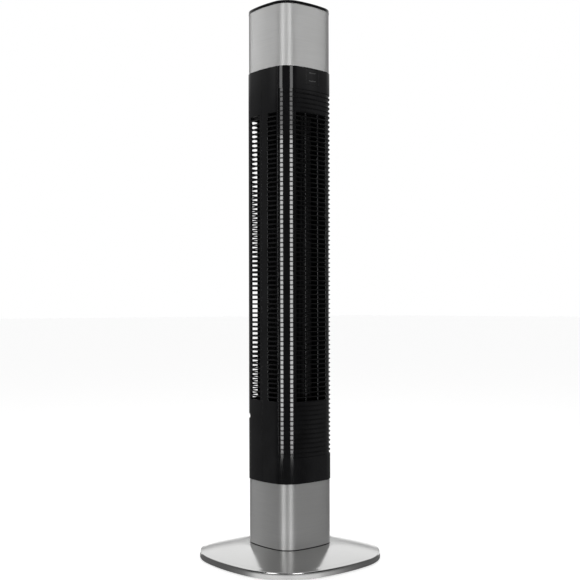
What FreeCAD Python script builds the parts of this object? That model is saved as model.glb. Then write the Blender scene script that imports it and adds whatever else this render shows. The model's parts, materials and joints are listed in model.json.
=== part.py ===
"""Tower fan: a rounded-square column on a domed base plate, with a cross-flow impeller inside.

Millimetres, +Z up. The origin is on the floor, under the middle of the base plate. The front grille
faces -Y. Heights are measured from the floor and plan sizes from the column's axis.
"""

import FreeCAD, Part
import math
import os

from FreeCAD import Vector

# ---------------------------------------------------------------- driving dimensions
TOTAL_HEIGHT = 1080.0  # floor to the top of the cap

# The column's plan is a rounded square with slightly bowed sides, all eight edges being tangent arcs.
BODY_HALF = 70.4  # axis to the middle of a side of the black body
BODY_CORNER_R = 38.0
BODY_BOW_OFFSET = 163.0  # how far past the axis the centre of a side's arc lies
BAND_INSET = 0.8  # the steel bands sit this far inside the black body

PLATE_HALF = 165.0
PLATE_CORNER_R = 122.0
PLATE_BOW_OFFSET = 211.0
CROWN_HALF = 82.0  # the flat top of the dome, which the column turns on
CROWN_CORNER_R = 72.0
CROWN_BOW_OFFSET = 40.0

# Heights of the visible joints, from the floor up.
PLATE_RIM_BOTTOM = 1.5
PLATE_RIM_TOP = 14.3
PLATE_CROWN = 29.3  # flat top of the dome, under the column
COLUMN_BOTTOM = 30.3
BODY_BOTTOM = 155.5
BODY_TOP = 955.0
UPPER_BAND_TOP = 1074.0

# Grille pattern: fins all the way up the front, slots between the fins over the impeller.
FIN_PITCH = 8.98
FIN_COUNT = 78
TOP_FIN_Z = 904.5
FIRST_SLOT_ROW = 4  # the row of slots under this fin, counted from the top
SLOT_ROWS = 62
FRONT_SLOT_COLUMNS = [(-38.5, -17.2), (-14.2, 14.2), (17.2, 38.5)]
FRONT_SIDE_SLOT = (-40.5, -17.2)
REAR_SIDE_SLOT = (6.0, 38.0)
REAR_SLOT_COLUMNS = [(-43.5, -26.0), (-21.0, -2.5), (2.5, 21.0), (26.0, 43.5)]
SLOT_HEIGHT = 6.4
REAR_SLOT_HEIGHT = 6.0
GRILLE_EDGE_Y = -43.5  # where the front grille meets the side panels

# Sheet and wall thicknesses, and the gaps between neighbours.
SHELL_WALL = 2.4
STEEL_SHEET = 1.0
SEAM_GAP = 0.2
RUN_GAP = 0.3

# Swivel drive: a gear fixed on the base hub and a pinion on the geared motor.
GEAR_MODULE = 1.25
FIXED_TEETH = 48
PINION_TEETH = 16
SWING_LIMIT_DEG = 37.5

# Cross-flow impeller and its duct.
IMPELLER_R = 44.0
BLADE_INNER_R = 35.5
BLADE_COUNT = 26
BLADE_THICKNESS = 1.0
BLADE_ARC_R = 7.8
BLADE_ARC_DEG = 73.0
SECTION_COUNT = 5
SECTION_HEIGHT = 112.0
IMPELLER_BOTTOM = 306.0
IMPELLER_TOP = IMPELLER_BOTTOM + SECTION_COUNT * SECTION_HEIGHT
SHAFT_R = 4.0
LOWER_DECK_Z = (298.0, 301.0)
UPPER_DECK_Z = (872.0, 875.0)

# Control buttons on the top.
BUTTON_NAMES = ["power", "speed", "swing", "timer", "mode"]
BUTTON_SPACING = 17.0
BUTTON_ROW_Y = -22.0
BUTTON_TRAVEL = 1.0

BIG = 400.0  # half size of the boxes that only clip

parts = {}


# ---------------------------------------------------------------- small helpers
def box(x0, x1, y0, y1, z0, z1):
    return Part.makeBox(x1 - x0, y1 - y0, z1 - z0, Vector(x0, y0, z0))


def rod(radius, z0, z1, x=0.0, y=0.0):
    return Part.makeCylinder(radius, z1 - z0, Vector(x, y, z0))


def tube(outer, inner, z0, z1, x=0.0, y=0.0):
    return rod(outer, z0, z1, x, y).cut(rod(inner, z0 - 1, z1 + 1, x, y))


def rod_along_y(radius, y0, y1, x, z):
    return Part.makeCylinder(radius, y1 - y0, Vector(x, y0, z), Vector(0, 1, 0))


def turned(shape, degrees, x=0.0, y=0.0):
    copy = shape.copy()
    copy.rotate(Vector(x, y, 0), Vector(0, 0, 1), degrees)
    return copy


def moved(shape, x=0.0, y=0.0, z=0.0):
    copy = shape.copy()
    copy.translate(Vector(x, y, z))
    return copy


def mirrored_in_x(shape):
    return shape.mirror(Vector(0, 0, 0), Vector(1, 0, 0))


def join(*shapes):
    return shapes[0].multiFuse(list(shapes[1:])).removeSplitter()


def without(shape, *cutters):
    return shape.cut(Part.makeCompound(list(cutters)))


def around(radius, count, start=0.0):
    """Points evenly spaced on a circle about the axis."""
    angles = [math.radians(start + 360.0 * i / count) for i in range(count)]
    return [(radius * math.cos(a), radius * math.sin(a)) for a in angles]


def corner_centre(half, corner_r, offset):
    """Distance of a corner arc's centre from both of the column's middle planes."""
    reach = half + offset - corner_r
    return (-2 * offset + math.sqrt(8 * reach * reach - 4 * offset * offset)) / 4


def bowed_square(half, corner_r, offset, z):
    """A closed wire of eight tangent arcs: four bowed sides and four round corners."""
    side_r = half + offset
    corner = corner_centre(half, corner_r, offset)
    spread = math.atan2(corner, offset + corner)
    edges = []
    for quarter in range(4):
        turn = quarter * math.pi / 2

        def at(x, y, turn=turn):
            c = math.cos(turn)
            s = math.sin(turn)
            return Vector(x * c - y * s, x * s + y * c, z)

        def on_side(angle):
            return at(side_r * math.sin(angle), offset - side_r * math.cos(angle))

        def on_corner(angle):
            return at(corner + corner_r * math.sin(angle), -corner - corner_r * math.cos(angle))

        edges.append(Part.Arc(on_side(-spread), on_side(0), on_side(spread)).toShape())
        edges.append(
            Part.Arc(on_side(spread), on_corner(math.pi / 4), on_corner(math.pi / 2 - spread)).toShape()
        )
    return Part.Wire(edges)


def body_wire(inset, z):
    return bowed_square(BODY_HALF - inset, BODY_CORNER_R - inset, BODY_BOW_OFFSET, z)


def plate_wire(inset, z):
    return bowed_square(PLATE_HALF - inset, PLATE_CORNER_R - inset, PLATE_BOW_OFFSET, z)


def prism(wire, height):
    return Part.Face(wire).extrude(Vector(0, 0, height))


def body_block(inset, z0, z1):
    return prism(body_wire(inset, z0), z1 - z0)


def body_sleeve(outer_inset, inner_inset, z0, z1):
    """A tube that follows the column's plan, between two insets."""
    return body_block(outer_inset, z0, z1).cut(body_block(inner_inset, z0 - 1, z1 + 1))


def polygon_prism(points, z0, z1):
    wire = Part.makePolygon([Vector(x, y, z0) for x, y in points + points[:1]])
    return prism(wire, z1 - z0)


def screw(x, y, z_seat, length, radius, head_r, head_h, up=True):
    """A pan-head screw along Z with a cross recess. up: the shank rises from the seat."""
    way = 1 if up else -1
    shank = Part.makeCylinder(radius, length, Vector(x, y, z_seat), Vector(0, 0, way))
    head = Part.makeCylinder(head_r, head_h, Vector(x, y, z_seat), Vector(0, 0, -way))
    end = z_seat - way * head_h
    depth = 0.5 * head_h
    low = min(end, end + way * depth)
    arm = 0.62 * head_r
    slot = 0.16 * head_r
    cross = [
        box(x - arm, x + arm, y - slot, y + slot, low, low + depth),
        box(x - slot, x + slot, y - arm, y + arm, low, low + depth),
    ]
    return without(join(shank, head), *cross)


def fin_z(index):
    return TOP_FIN_Z - FIN_PITCH * index


def slot_row_z(row):
    """Middle height of a row of slots; row 0 is the highest."""
    return fin_z(FIRST_SLOT_ROW + row) - FIN_PITCH / 2


# ---------------------------------------------------------------- base
def dome_solid(inset, drop):
    """The plate's outside, or its inside when inset and dropped by the sheet's thickness."""
    steps = 4
    wires = []
    for i in range(steps + 1):
        t = 1 - i / steps
        half = CROWN_HALF + (PLATE_HALF - CROWN_HALF) * t - inset * t
        corner = CROWN_CORNER_R + (PLATE_CORNER_R - CROWN_CORNER_R) * t - inset * t
        offset = CROWN_BOW_OFFSET + (PLATE_BOW_OFFSET - CROWN_BOW_OFFSET) * t
        z = PLATE_CROWN - drop - (PLATE_CROWN - PLATE_RIM_TOP) * t**1.5
        wires.append(bowed_square(half, corner, offset, z))
    cap = Part.makeLoft(wires, True, False)
    low = PLATE_RIM_BOTTOM - (1.0 if drop else 0.0)
    rim = prism(plate_wire(inset, low), PLATE_RIM_TOP - drop - low)
    return join(rim, cap)


CORD_Z = 7.4
CORD_BORE_R = 3.3


def base_cover():
    shell = dome_solid(0.0, 0.0).cut(dome_solid(1.2, 1.2))
    hub_hole = rod(46.0, 10.0, 40.0)
    cord_hole = rod_along_y(5.2, PLATE_HALF - 12, PLATE_HALF + 5, 0, CORD_Z)
    return without(shell, hub_hole, cord_hole)


HUB_BOLTS = around(35.0, 4, 45.0)
PAN_SCREWS = [(x, y) for x in (-78.0, 78.0) for y in (-78.0, 78.0)]
FOOT_SPOTS = around(148.0, 4, 45.0) + around(136.0, 4, 0.0)
PAN_FLOOR = (1.5, 3.5)
WEIGHT_Z = (5.5, 11.5)


def base_pan():
    floor = prism(plate_wire(1.5, PAN_FLOOR[0]), PAN_FLOOR[1] - PAN_FLOOR[0])
    wall = prism(plate_wire(1.5, PAN_FLOOR[0]), 9.5).cut(prism(plate_wire(3.5, 0), 20))
    pieces = [floor, wall]
    for x, y in PAN_SCREWS:
        pieces.append(rod(6.0, PAN_FLOOR[0], WEIGHT_Z[0], x, y))
    for i in range(12):
        rib = box(126.0, 161.0, -0.9, 0.9, PAN_FLOOR[0] + 0.5, 9.0)
        pieces.append(turned(rib, 15 + 30 * i).common(prism(plate_wire(2.5, 0), 20)))
    cuts = [rod(5.6, -1, 5, x, y) for x, y in HUB_BOLTS]
    for x, y in PAN_SCREWS:
        cuts.append(rod(2.1, -1, 8, x, y))
        cuts.append(rod(3.8, 0, 3.0, x, y))
    cuts.append(rod_along_y(5.2, PLATE_HALF - 12, PLATE_HALF + 5, 0, CORD_Z))
    return without(join(*pieces), *cuts)


def base_weight():
    plate = rod(120.0, *WEIGHT_Z)
    cuts = [box(-7.0, 7.0, 0.0, 130.0, 0, 20), rod(11.0, 0, 20)]
    cuts += [rod(2.7, 0, 20, x, y) for x, y in HUB_BOLTS]
    cuts += [rod(1.9, 0, 20, x, y) for x, y in PAN_SCREWS]
    return without(plate, *cuts)


def base_feet():
    pad = rod(9.5, 0.0, PAN_FLOOR[0])
    edge = [e for e in pad.Edges if abs(e.BoundBox.ZMax) < 1e-6]
    pad = pad.makeFillet(0.5, edge)
    return Part.makeCompound([moved(pad, x, y) for x, y in FOOT_SPOTS])


def base_bolts():
    return Part.makeCompound([screw(x, y, WEIGHT_Z[0], 18.0, 2.5, 4.6, 2.8) for x, y in HUB_BOLTS])


def base_screws():
    """One size of screw: four through the pan and ballast, four through the fixed gear into the hub."""
    pan = [base_screw(x, y, 3.0) for x, y in PAN_SCREWS]
    gear = [base_screw(x, y, FIXED_GEAR_Z[1], up=False) for x, y in GEAR_SCREWS]
    return Part.makeCompound(pan + gear)


def base_screw(x, y, z_seat, up=True):
    return screw(x, y, z_seat, 12.0, 1.6, 3.3, 1.3, up)


def cord_gland():
    """Rubber bush in the rear rim: a flange each side of the sheet and a bore for the mains lead."""
    rear = PLATE_HALF
    neck = rod_along_y(5.0, rear - 7.0, rear + 2.2, 0, CORD_Z)
    flange = rod_along_y(6.4, rear + 0.3, rear + 2.2, 0, CORD_Z)
    nut = rod_along_y(6.0, rear - 7.0, rear - 4.0, 0, CORD_Z)
    nut = nut.common(box(-9, 9, rear - 9, rear, PAN_FLOOR[1] + 0.2, 20))
    flange = flange.common(box(-9, 9, rear, rear + 5, 1.3, 20))
    bore = rod_along_y(CORD_BORE_R, rear - 9, rear + 5, 0, CORD_Z)
    return without(join(neck, flange, nut), bore)


# ---------------------------------------------------------------- swivel
HUB_TOP = 37.2
THRUST_Z = 30.8
SPIGOT_R = 24.0
STOP_PIN_R = 2.0
STOP_CIRCLE_R = 35.8
SWIVEL_PLATE_Z = (32.1, 36.1)
FIXED_GEAR_Z = (HUB_TOP, HUB_TOP + 6.0)
GEAR_SCREWS = around(17.0, 4, 0.0)
PINION_Y = GEAR_MODULE * (FIXED_TEETH + PINION_TEETH) / 2
DRIVE_MOTOR_Y = PINION_Y - 8.0  # the can stands off its own output shaft
DRIVE_EAR_X = 21.0
DRIVE_SEAT_Z = 47.0


def pivot_hub():
    body = join(
        rod(44.0, WEIGHT_Z[1], WEIGHT_Z[1] + 4.0),
        rod(40.0, WEIGHT_Z[1], THRUST_Z),
        rod(49.0, PLATE_CROWN - 5.0, PLATE_CROWN - 1.25),
        rod(SPIGOT_R, WEIGHT_Z[1], HUB_TOP),
        rod(STOP_PIN_R, THRUST_Z - 5, SWIVEL_PLATE_Z[1] - 0.6, 0, -STOP_CIRCLE_R),
    )
    cuts = [rod(9.0, 0, 60)]
    cuts += [rod(2.55, 0, WEIGHT_Z[0] + 18.6, x, y) for x, y in HUB_BOLTS]
    cuts += [rod(1.62, HUB_TOP - 12, 60, x, y) for x, y in GEAR_SCREWS]
    return without(body, *cuts)


def slide_ring():
    return tube(32.0, SPIGOT_R + 0.2, THRUST_Z, SWIVEL_PLATE_Z[0] - 0.15)


def involute_gear(teeth, z0, z1, phase_deg, addendum=0.92, backlash=0.14):
    """A spur gear at the origin; a tooth's middle lies at phase_deg."""
    pitch_r = GEAR_MODULE * teeth / 2
    base_r = pitch_r * math.cos(math.radians(20))
    tip_r = pitch_r + addendum * GEAR_MODULE
    root_r = pitch_r - 1.2 * GEAR_MODULE

    def involute(radius):
        pressure = math.acos(min(1.0, base_r / radius))
        return math.tan(pressure) - pressure

    half_tooth = (math.pi * GEAR_MODULE / 2 - backlash) / (2 * pitch_r)
    start_r = max(root_r, base_r)
    flank = [start_r + (tip_r - start_r) * i / 4 for i in range(5)]
    half_width = [(r, half_tooth + involute(pitch_r) - involute(r)) for r in flank]
    if root_r < base_r:
        half_width.insert(0, (root_r, half_width[0][1]))
    points = []
    for tooth in range(teeth):
        middle = math.radians(phase_deg) + 2 * math.pi * tooth / teeth
        points += [(r * math.cos(middle - a), r * math.sin(middle - a)) for r, a in half_width]
        points += [(r * math.cos(middle + a), r * math.sin(middle + a)) for r, a in reversed(half_width)]
    return polygon_prism(points, z0, z1)


def fixed_gear():
    gear = involute_gear(FIXED_TEETH, *FIXED_GEAR_Z, 90.0)
    cuts = [rod(9.0, 0, 60)]
    cuts += [rod(1.8, 0, 60, x, y) for x, y in GEAR_SCREWS]
    return without(gear, *cuts)


def swing_pinion():
    """The pinion and its D-shaft, which runs up into the geared motor."""
    half_tooth_turn = 180.0 / PINION_TEETH
    pinion = involute_gear(PINION_TEETH, FIXED_GEAR_Z[0] + 0.3, FIXED_GEAR_Z[1] + 0.5, 270.0 + half_tooth_turn)
    hub = rod(5.0, FIXED_GEAR_Z[1], DRIVE_SEAT_Z - 0.6)
    shaft = rod(2.5, FIXED_GEAR_Z[1], DRIVE_SEAT_Z + 10.0)
    return moved(join(pinion, hub, shaft), 0, PINION_Y)


def swing_motor():
    """Flat geared motor: a round can with two ears, hollow where its output shaft turns."""
    can = rod(17.5, DRIVE_SEAT_Z, DRIVE_SEAT_Z + 19.0, 0, DRIVE_MOTOR_Y)
    lid = rod(18.1, DRIVE_SEAT_Z, DRIVE_SEAT_Z + 1.2, 0, DRIVE_MOTOR_Y)
    ears = box(-DRIVE_EAR_X, DRIVE_EAR_X, -3.5, 3.5, DRIVE_SEAT_Z, DRIVE_SEAT_Z + 1.2)
    ears = join(
        moved(ears, 0, DRIVE_MOTOR_Y),
        rod(3.5, DRIVE_SEAT_Z, DRIVE_SEAT_Z + 1.2, -DRIVE_EAR_X, DRIVE_MOTOR_Y),
        rod(3.5, DRIVE_SEAT_Z, DRIVE_SEAT_Z + 1.2, DRIVE_EAR_X, DRIVE_MOTOR_Y),
    )
    socket = box(-7.0, 7.0, DRIVE_MOTOR_Y - 21.0, DRIVE_MOTOR_Y - 16.0, DRIVE_SEAT_Z + 4, DRIVE_SEAT_Z + 14)
    cuts = [
        rod(2.8, DRIVE_SEAT_Z - 1, DRIVE_SEAT_Z + 10.4, 0, PINION_Y),
        rod(1.7, DRIVE_SEAT_Z - 1, DRIVE_SEAT_Z + 3, -DRIVE_EAR_X, DRIVE_MOTOR_Y),
        rod(1.7, DRIVE_SEAT_Z - 1, DRIVE_SEAT_Z + 3, DRIVE_EAR_X, DRIVE_MOTOR_Y),
    ]
    return without(join(can, lid, ears, socket), *cuts)


CHASSIS_INSET = 4.0
CHASSIS_WALL = 2.5
BAND_INNER_INSET = BAND_INSET + STEEL_SHEET
CHASSIS_SCREWS = around(52.0, 4, 45.0)


def swivel_plate():
    """The column's floor: it turns about the hub's spigot and carries the swing drive."""
    plate = body_block(BAND_INNER_INSET + 0.3, *SWIVEL_PLATE_Z)
    posts = [
        rod(3.4, SWIVEL_PLATE_Z[0], DRIVE_SEAT_Z, x, DRIVE_MOTOR_Y) for x in (-DRIVE_EAR_X, DRIVE_EAR_X)
    ]
    bosses = [rod(5.0, SWIVEL_PLATE_Z[0], SWIVEL_PLATE_Z[1] + 8, x, y) for x, y in CHASSIS_SCREWS]
    reach = SWING_LIMIT_DEG + math.degrees(STOP_PIN_R / STOP_CIRCLE_R) + 0.5
    stop_slot = Part.makeCylinder(
        STOP_CIRCLE_R + 2.5, 30, Vector(0, 0, 20), Vector(0, 0, 1), 2 * reach
    ).cut(rod(STOP_CIRCLE_R - 2.5, 10, 60))
    stop_slot = turned(stop_slot, 270.0 - reach)
    cuts = [rod(SPIGOT_R + RUN_GAP, 0, 60), stop_slot]
    cuts += [rod(1.45, SWIVEL_PLATE_Z[1], 60, x, DRIVE_MOTOR_Y) for x in (-DRIVE_EAR_X, DRIVE_EAR_X)]
    cuts += [rod(1.9, 0, 60, x, y) for x, y in CHASSIS_SCREWS]
    cuts += [rod(3.7, 0, SWIVEL_PLATE_Z[0] + 1.5, x, y) for x, y in CHASSIS_SCREWS]
    return without(join(plate, *posts, *bosses), *cuts)


def swivel_plate_screws():
    """Hold the chassis to its floor, from below."""
    return Part.makeCompound(
        [screw(x, y, SWIVEL_PLATE_Z[0] + 1.5, 22.0, 1.8, 3.4, 1.4) for x, y in CHASSIS_SCREWS]
    )


# ---------------------------------------------------------------- lower column
LOWER_CHASSIS_TOP = 192.0
SHELL_SCREW_X = 30.0
LOWER_SHELL_SCREW_Z = 175.0
UPPER_SHELL_SCREW_Z = 934.0


def lower_band():
    return body_sleeve(BAND_INSET, BAND_INNER_INSET, COLUMN_BOTTOM, BODY_BOTTOM)


def screw_blocks(z, z_half):
    """Two blocks on the inside of a chassis's rear wall that take the rear shell's screws."""
    block = box(-SHELL_SCREW_X - 6, -SHELL_SCREW_X + 6, 40.0, BODY_HALF, z - z_half, z + z_half)
    block = block.common(body_block(CHASSIS_INSET, z - z_half, z + z_half))
    return [block, mirrored_in_x(block)]


def shell_screw_holes(z):
    spots = (-SHELL_SCREW_X, SHELL_SCREW_X)
    return [rod_along_y(1.55, 44.0, BODY_HALF + 5, x, z) for x in spots]


def lower_chassis():
    """Moulded frame: a wall inside the steel band, going up into the black body."""
    z0 = SWIVEL_PLATE_Z[1] + 0.1
    wall = body_sleeve(CHASSIS_INSET, CHASSIS_INSET + CHASSIS_WALL, z0, LOWER_CHASSIS_TOP)
    collars = [
        body_sleeve(BAND_INNER_INSET + 0.3, CHASSIS_INSET + 0.5, z0, z0 + 16),
        body_sleeve(BAND_INNER_INSET + 0.3, CHASSIS_INSET + 0.5, BODY_BOTTOM - 14, BODY_BOTTOM - 2),
    ]
    deck = body_block(CHASSIS_INSET + 1, 118.0, 121.0)
    ribs = [box(-1.2, 1.2, -BIG, BIG, 121.0, 132.0), box(-BIG, BIG, -1.2, 1.2, 121.0, 132.0)]
    ribs = [r.common(body_block(CHASSIS_INSET + 1, 110, 140)) for r in ribs]
    lugs = [rod(5.5, SWIVEL_PLATE_Z[1] + 8.1, SWIVEL_PLATE_Z[1] + 22, x, y) for x, y in CHASSIS_SCREWS]
    web = box(52.0, 90.0, -1.5, 1.5, SWIVEL_PLATE_Z[1] + 9, SWIVEL_PLATE_Z[1] + 21)
    inside = body_block(CHASSIS_INSET + 1, SWIVEL_PLATE_Z[1], 120.0)
    lugs += [turned(web, 45 + 90 * i).common(inside) for i in range(4)]
    cable_hole = rod(10.0, 100, 140)
    cuts = [cable_hole, rod(14.0, 100, 140, -38, 30)] + shell_screw_holes(LOWER_SHELL_SCREW_Z)
    cuts += [rod(1.85, 0, SWIVEL_PLATE_Z[1] + 20, x, y) for x, y in CHASSIS_SCREWS]
    solid = join(wall, *collars, deck, *ribs, *lugs, *screw_blocks(LOWER_SHELL_SCREW_Z, 8.0))
    return without(solid, *cuts)


# ---------------------------------------------------------------- black body
RIB_ZONE = (205.2, 911.8)  # the front's wall stands back here, so that the fins end flush
RIB_WALL_INSET = 2.3
RIB_WALL = 1.4
FIN_PROUD = 0.2
FIN_THICKNESS = 2.2
LENS_HALF_X = 16.0
LENS_Z = (923.0, 953.0)
LENS_LEDGE = 2.0


def slot_boxes(x0, x1, y0, y1, height):
    rows = [slot_row_z(i) for i in range(SLOT_ROWS)]
    return [box(x0, x1, y0, y1, z - height / 2, z + height / 2) for z in rows]


def front_grille():
    z0 = BODY_BOTTOM + SEAM_GAP
    z1 = BODY_TOP - SEAM_GAP
    front = box(-BIG, BIG, -BIG, GRILLE_EDGE_Y, 0, TOTAL_HEIGHT)
    wall = body_sleeve(RIB_WALL_INSET, RIB_WALL_INSET + RIB_WALL, z0, z1)
    skins = [
        body_sleeve(0.0, SHELL_WALL, z0, RIB_ZONE[0]),
        body_sleeve(0.0, SHELL_WALL, RIB_ZONE[1], z1),
    ]
    fin = body_sleeve(-FIN_PROUD, RIB_WALL_INSET + 0.6, -FIN_THICKNESS / 2, FIN_THICKNESS / 2)
    fin = fin.common(box(-BIG, BIG, -BIG, GRILLE_EDGE_Y, -10, 10))
    fins = [moved(fin, 0, 0, fin_z(i)) for i in range(FIN_COUNT)]
    seat = body_sleeve(-2.0, 1.85, LENS_Z[0] - 0.2, LENS_Z[1] + 0.2)
    seat = seat.common(box(-LENS_HALF_X - 0.2, LENS_HALF_X + 0.2, -BIG, 0, 0, TOTAL_HEIGHT))
    sight = LENS_HALF_X - LENS_LEDGE
    window = box(-sight, sight, -BIG, 0, LENS_Z[0] + LENS_LEDGE, LENS_Z[1] - LENS_LEDGE)
    cuts = [seat, window]
    for x0, x1 in FRONT_SLOT_COLUMNS:
        cuts += slot_boxes(x0, x1, -BIG, -50.0, SLOT_HEIGHT)
    shell = join(wall, *skins).common(front)
    return join(without(shell, *cuts), *fins)


def side_panel_left():
    z0 = BODY_BOTTOM + SEAM_GAP
    z1 = BODY_TOP - SEAM_GAP
    strip = box(-BIG, 0, GRILLE_EDGE_Y + SEAM_GAP, -SEAM_GAP, 0, TOTAL_HEIGHT)
    wall = body_sleeve(0.0, SHELL_WALL, z0, z1).common(strip)
    return without(wall, *slot_boxes(-BIG, -50.0, *FRONT_SIDE_SLOT, SLOT_HEIGHT))


GRIP_Z = 279.5
GRIP_R = 6.0
GRIP_OUT = 2.4  # the groove's axis stands this far outside the corner
GRIP_BACKING = 7.0  # the wall behind the groove is thicker this far above and below it


def grip_notch(side):
    """A groove across a rear corner, just under the intake slots, for lifting the shell off."""
    reach = corner_centre(BODY_HALF, BODY_CORNER_R, BODY_BOW_OFFSET) * math.sqrt(2) + BODY_CORNER_R + GRIP_OUT
    length = 40.0
    cutter = Part.makeCylinder(GRIP_R, length, Vector(reach, -length / 2, GRIP_Z), Vector(0, 1, 0))
    return turned(cutter, 45.0 if side > 0 else 135.0)


def rear_shell():
    z0 = BODY_BOTTOM + SEAM_GAP
    z1 = BODY_TOP - SEAM_GAP
    back = box(-BIG, BIG, SEAM_GAP, BIG, 0, TOTAL_HEIGHT)
    wall = body_sleeve(0.0, SHELL_WALL, z0, z1)
    backing = body_sleeve(SHELL_WALL - 0.4, SHELL_WALL + 3.6, GRIP_Z - GRIP_BACKING, GRIP_Z + GRIP_BACKING)
    corners = box(-BIG, -40.0, 30.0, BIG, 0, BIG), box(40.0, BIG, 30.0, BIG, 0, BIG)
    shell = join(wall, *[backing.common(c) for c in corners]).common(back)
    cuts = [grip_notch(1), grip_notch(-1)]
    for x0, x1 in REAR_SLOT_COLUMNS:
        cuts += slot_boxes(x0, x1, 50.0, BIG, REAR_SLOT_HEIGHT)
    cuts += slot_boxes(-BIG, -50.0, *REAR_SIDE_SLOT, REAR_SLOT_HEIGHT)
    cuts += slot_boxes(50.0, BIG, *REAR_SIDE_SLOT, REAR_SLOT_HEIGHT)
    for z in (LOWER_SHELL_SCREW_Z, UPPER_SHELL_SCREW_Z):
        for x in (-SHELL_SCREW_X, SHELL_SCREW_X):
            cuts.append(rod_along_y(1.9, 50, 90, x, z))
            cuts.append(rod_along_y(3.9, BODY_HALF - 3.1, 90, x, z))
    return without(shell, *cuts)


def rear_screws():
    seat = BODY_HALF - 3.1
    pieces = []
    for z in (LOWER_SHELL_SCREW_Z, UPPER_SHELL_SCREW_Z):
        for x in (-SHELL_SCREW_X, SHELL_SCREW_X):
            one = screw(0, 0, 0, 14.0, 1.5, 3.3, 1.0, up=False)
            one.rotate(Vector(0, 0, 0), Vector(1, 0, 0), -90)
            pieces.append(moved(one, x, seat, z))
    return Part.makeCompound(pieces)


# ---------------------------------------------------------------- duct
DECK_INSET = 4.0
SCROLL_START_DEG = 62.0
SCROLL_END_DEG = -38.0
SCROLL_START_R = IMPELLER_R + 2.5
SCROLL_GROWTH = 0.125
DUCT_WALL = 1.6
OUTLET_Y = -59.2  # where both duct walls end, just behind the grille


def scroll_profile():
    """The scroll's inner line: a log spiral from the rear right to the outlet, then straight to the grille."""
    steps = 10
    points = []
    for i in range(steps + 1):
        angle = math.radians(SCROLL_START_DEG + (SCROLL_END_DEG - SCROLL_START_DEG) * i / steps)
        radius = SCROLL_START_R * math.exp(SCROLL_GROWTH * (math.radians(SCROLL_START_DEG) - angle))
        points.append(Vector(radius * math.cos(angle), radius * math.sin(angle), 0))
    curve = Part.BSplineCurve()
    curve.interpolate(points)
    return curve


def scroll_wall():
    z0 = LOWER_DECK_Z[1] + 0.1
    height = UPPER_DECK_Z[0] - 0.1 - z0
    inner = scroll_profile()
    outer = Part.BSplineCurve()
    outer.interpolate([p + Vector(p.x, p.y, 0).normalize() * DUCT_WALL for p in sampled(inner)])
    ends = [
        Part.LineSegment(inner.StartPoint, outer.StartPoint),
        Part.LineSegment(outer.EndPoint, inner.EndPoint),
    ]
    spiral = Part.Wire(Part.__sortEdges__([c.toShape() for c in (inner, outer, *ends)]))
    a = inner.EndPoint
    lip = [(a.x - 0.4, a.y + 1.0), (a.x + DUCT_WALL, a.y + 1.0), (42.0, OUTLET_Y), (40.2, OUTLET_Y)]
    lip_prism = polygon_prism(lip, 0, height)
    solid = join(Part.Face(spiral).extrude(Vector(0, 0, height)), lip_prism)
    return moved(solid, 0, 0, z0)


def sampled(curve):
    count = 10
    first = curve.FirstParameter
    last = curve.LastParameter
    return [curve.value(first + (last - first) * i / count) for i in range(count + 1)]


def vortex_wall():
    """The tongue on the other side of the outlet: a round nose close to the blades and a plain wall."""
    z0 = LOWER_DECK_Z[1] + 0.1
    z1 = UPPER_DECK_Z[0] - 0.1
    nose_x = -45.4
    nose_y = -19.0
    nose = rod(2.2, z0, z1, nose_x, nose_y)
    wall = polygon_prism(
        [(nose_x - 1.8, nose_y), (nose_x + 0.0, nose_y), (-40.2, OUTLET_Y), (-42.0, OUTLET_Y)], z0, z1
    )
    return join(nose, wall)


def deck_plate(z0, z1, hole_r):
    """A duct end plate: the column's plan inside the shells, trimmed clear of the ribbed front wall."""
    plate = body_block(DECK_INSET, z0, z1)
    return plate.cut(rod(hole_r, z0 - 1, z1 + 1))


MOTOR_SCREWS = around(30.0, 4, 45.0)


def lower_deck():
    deck = deck_plate(*LOWER_DECK_Z, 18.0)
    skirt = body_sleeve(DECK_INSET, DECK_INSET + 2.0, LOWER_DECK_Z[0] - 10.0, LOWER_DECK_Z[0] + 0.5)
    cuts = [rod(2.4, 280, 320, x, y) for x, y in MOTOR_SCREWS]
    return without(join(deck, skirt), *cuts)


BEARING_Z = (877.0, 887.0)


def upper_deck():
    deck = deck_plate(*UPPER_DECK_Z, 9.0)
    skirt = body_sleeve(DECK_INSET, DECK_INSET + 2.0, UPPER_DECK_Z[1] - 0.5, UPPER_DECK_Z[1] + 10.0)
    cup = tube(17.0, 14.1, UPPER_DECK_Z[1] - 0.5, BEARING_Z[1] + 1.0)
    rib = box(16.0, 58.0, -1.0, 1.0, UPPER_DECK_Z[1] - 0.5, UPPER_DECK_Z[1] + 8)
    ribs = [turned(rib, 45 + 90 * i) for i in range(4)]
    return join(deck, skirt, cup, *ribs)


def bearing_rubber():
    return tube(14.0, 8.05, BEARING_Z[0] - 1.9, BEARING_Z[1])


def top_bearing():
    return tube(8.0, SHAFT_R + 0.05, *BEARING_Z)


# ---------------------------------------------------------------- impeller
def blade(z0, z1):
    """One forward-curved blade: it starts radially and turns through an arc towards the rim."""
    centre = Vector(BLADE_INNER_R, BLADE_ARC_R, z0)
    angles = [math.radians(-90 + BLADE_ARC_DEG * i / 2) for i in range(3)]

    def arc_points(radius):
        return [centre + Vector(radius * math.cos(a), radius * math.sin(a), 0) for a in angles]

    outer = arc_points(BLADE_ARC_R + BLADE_THICKNESS / 2)
    inner = arc_points(BLADE_ARC_R - BLADE_THICKNESS / 2)
    edges = [
        Part.Arc(*outer).toShape(),
        Part.LineSegment(outer[2], inner[2]).toShape(),
        Part.Arc(*reversed(inner)).toShape(),
        Part.LineSegment(inner[0], outer[0]).toShape(),
    ]
    return prism(Part.Wire(edges), z1 - z0)


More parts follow.
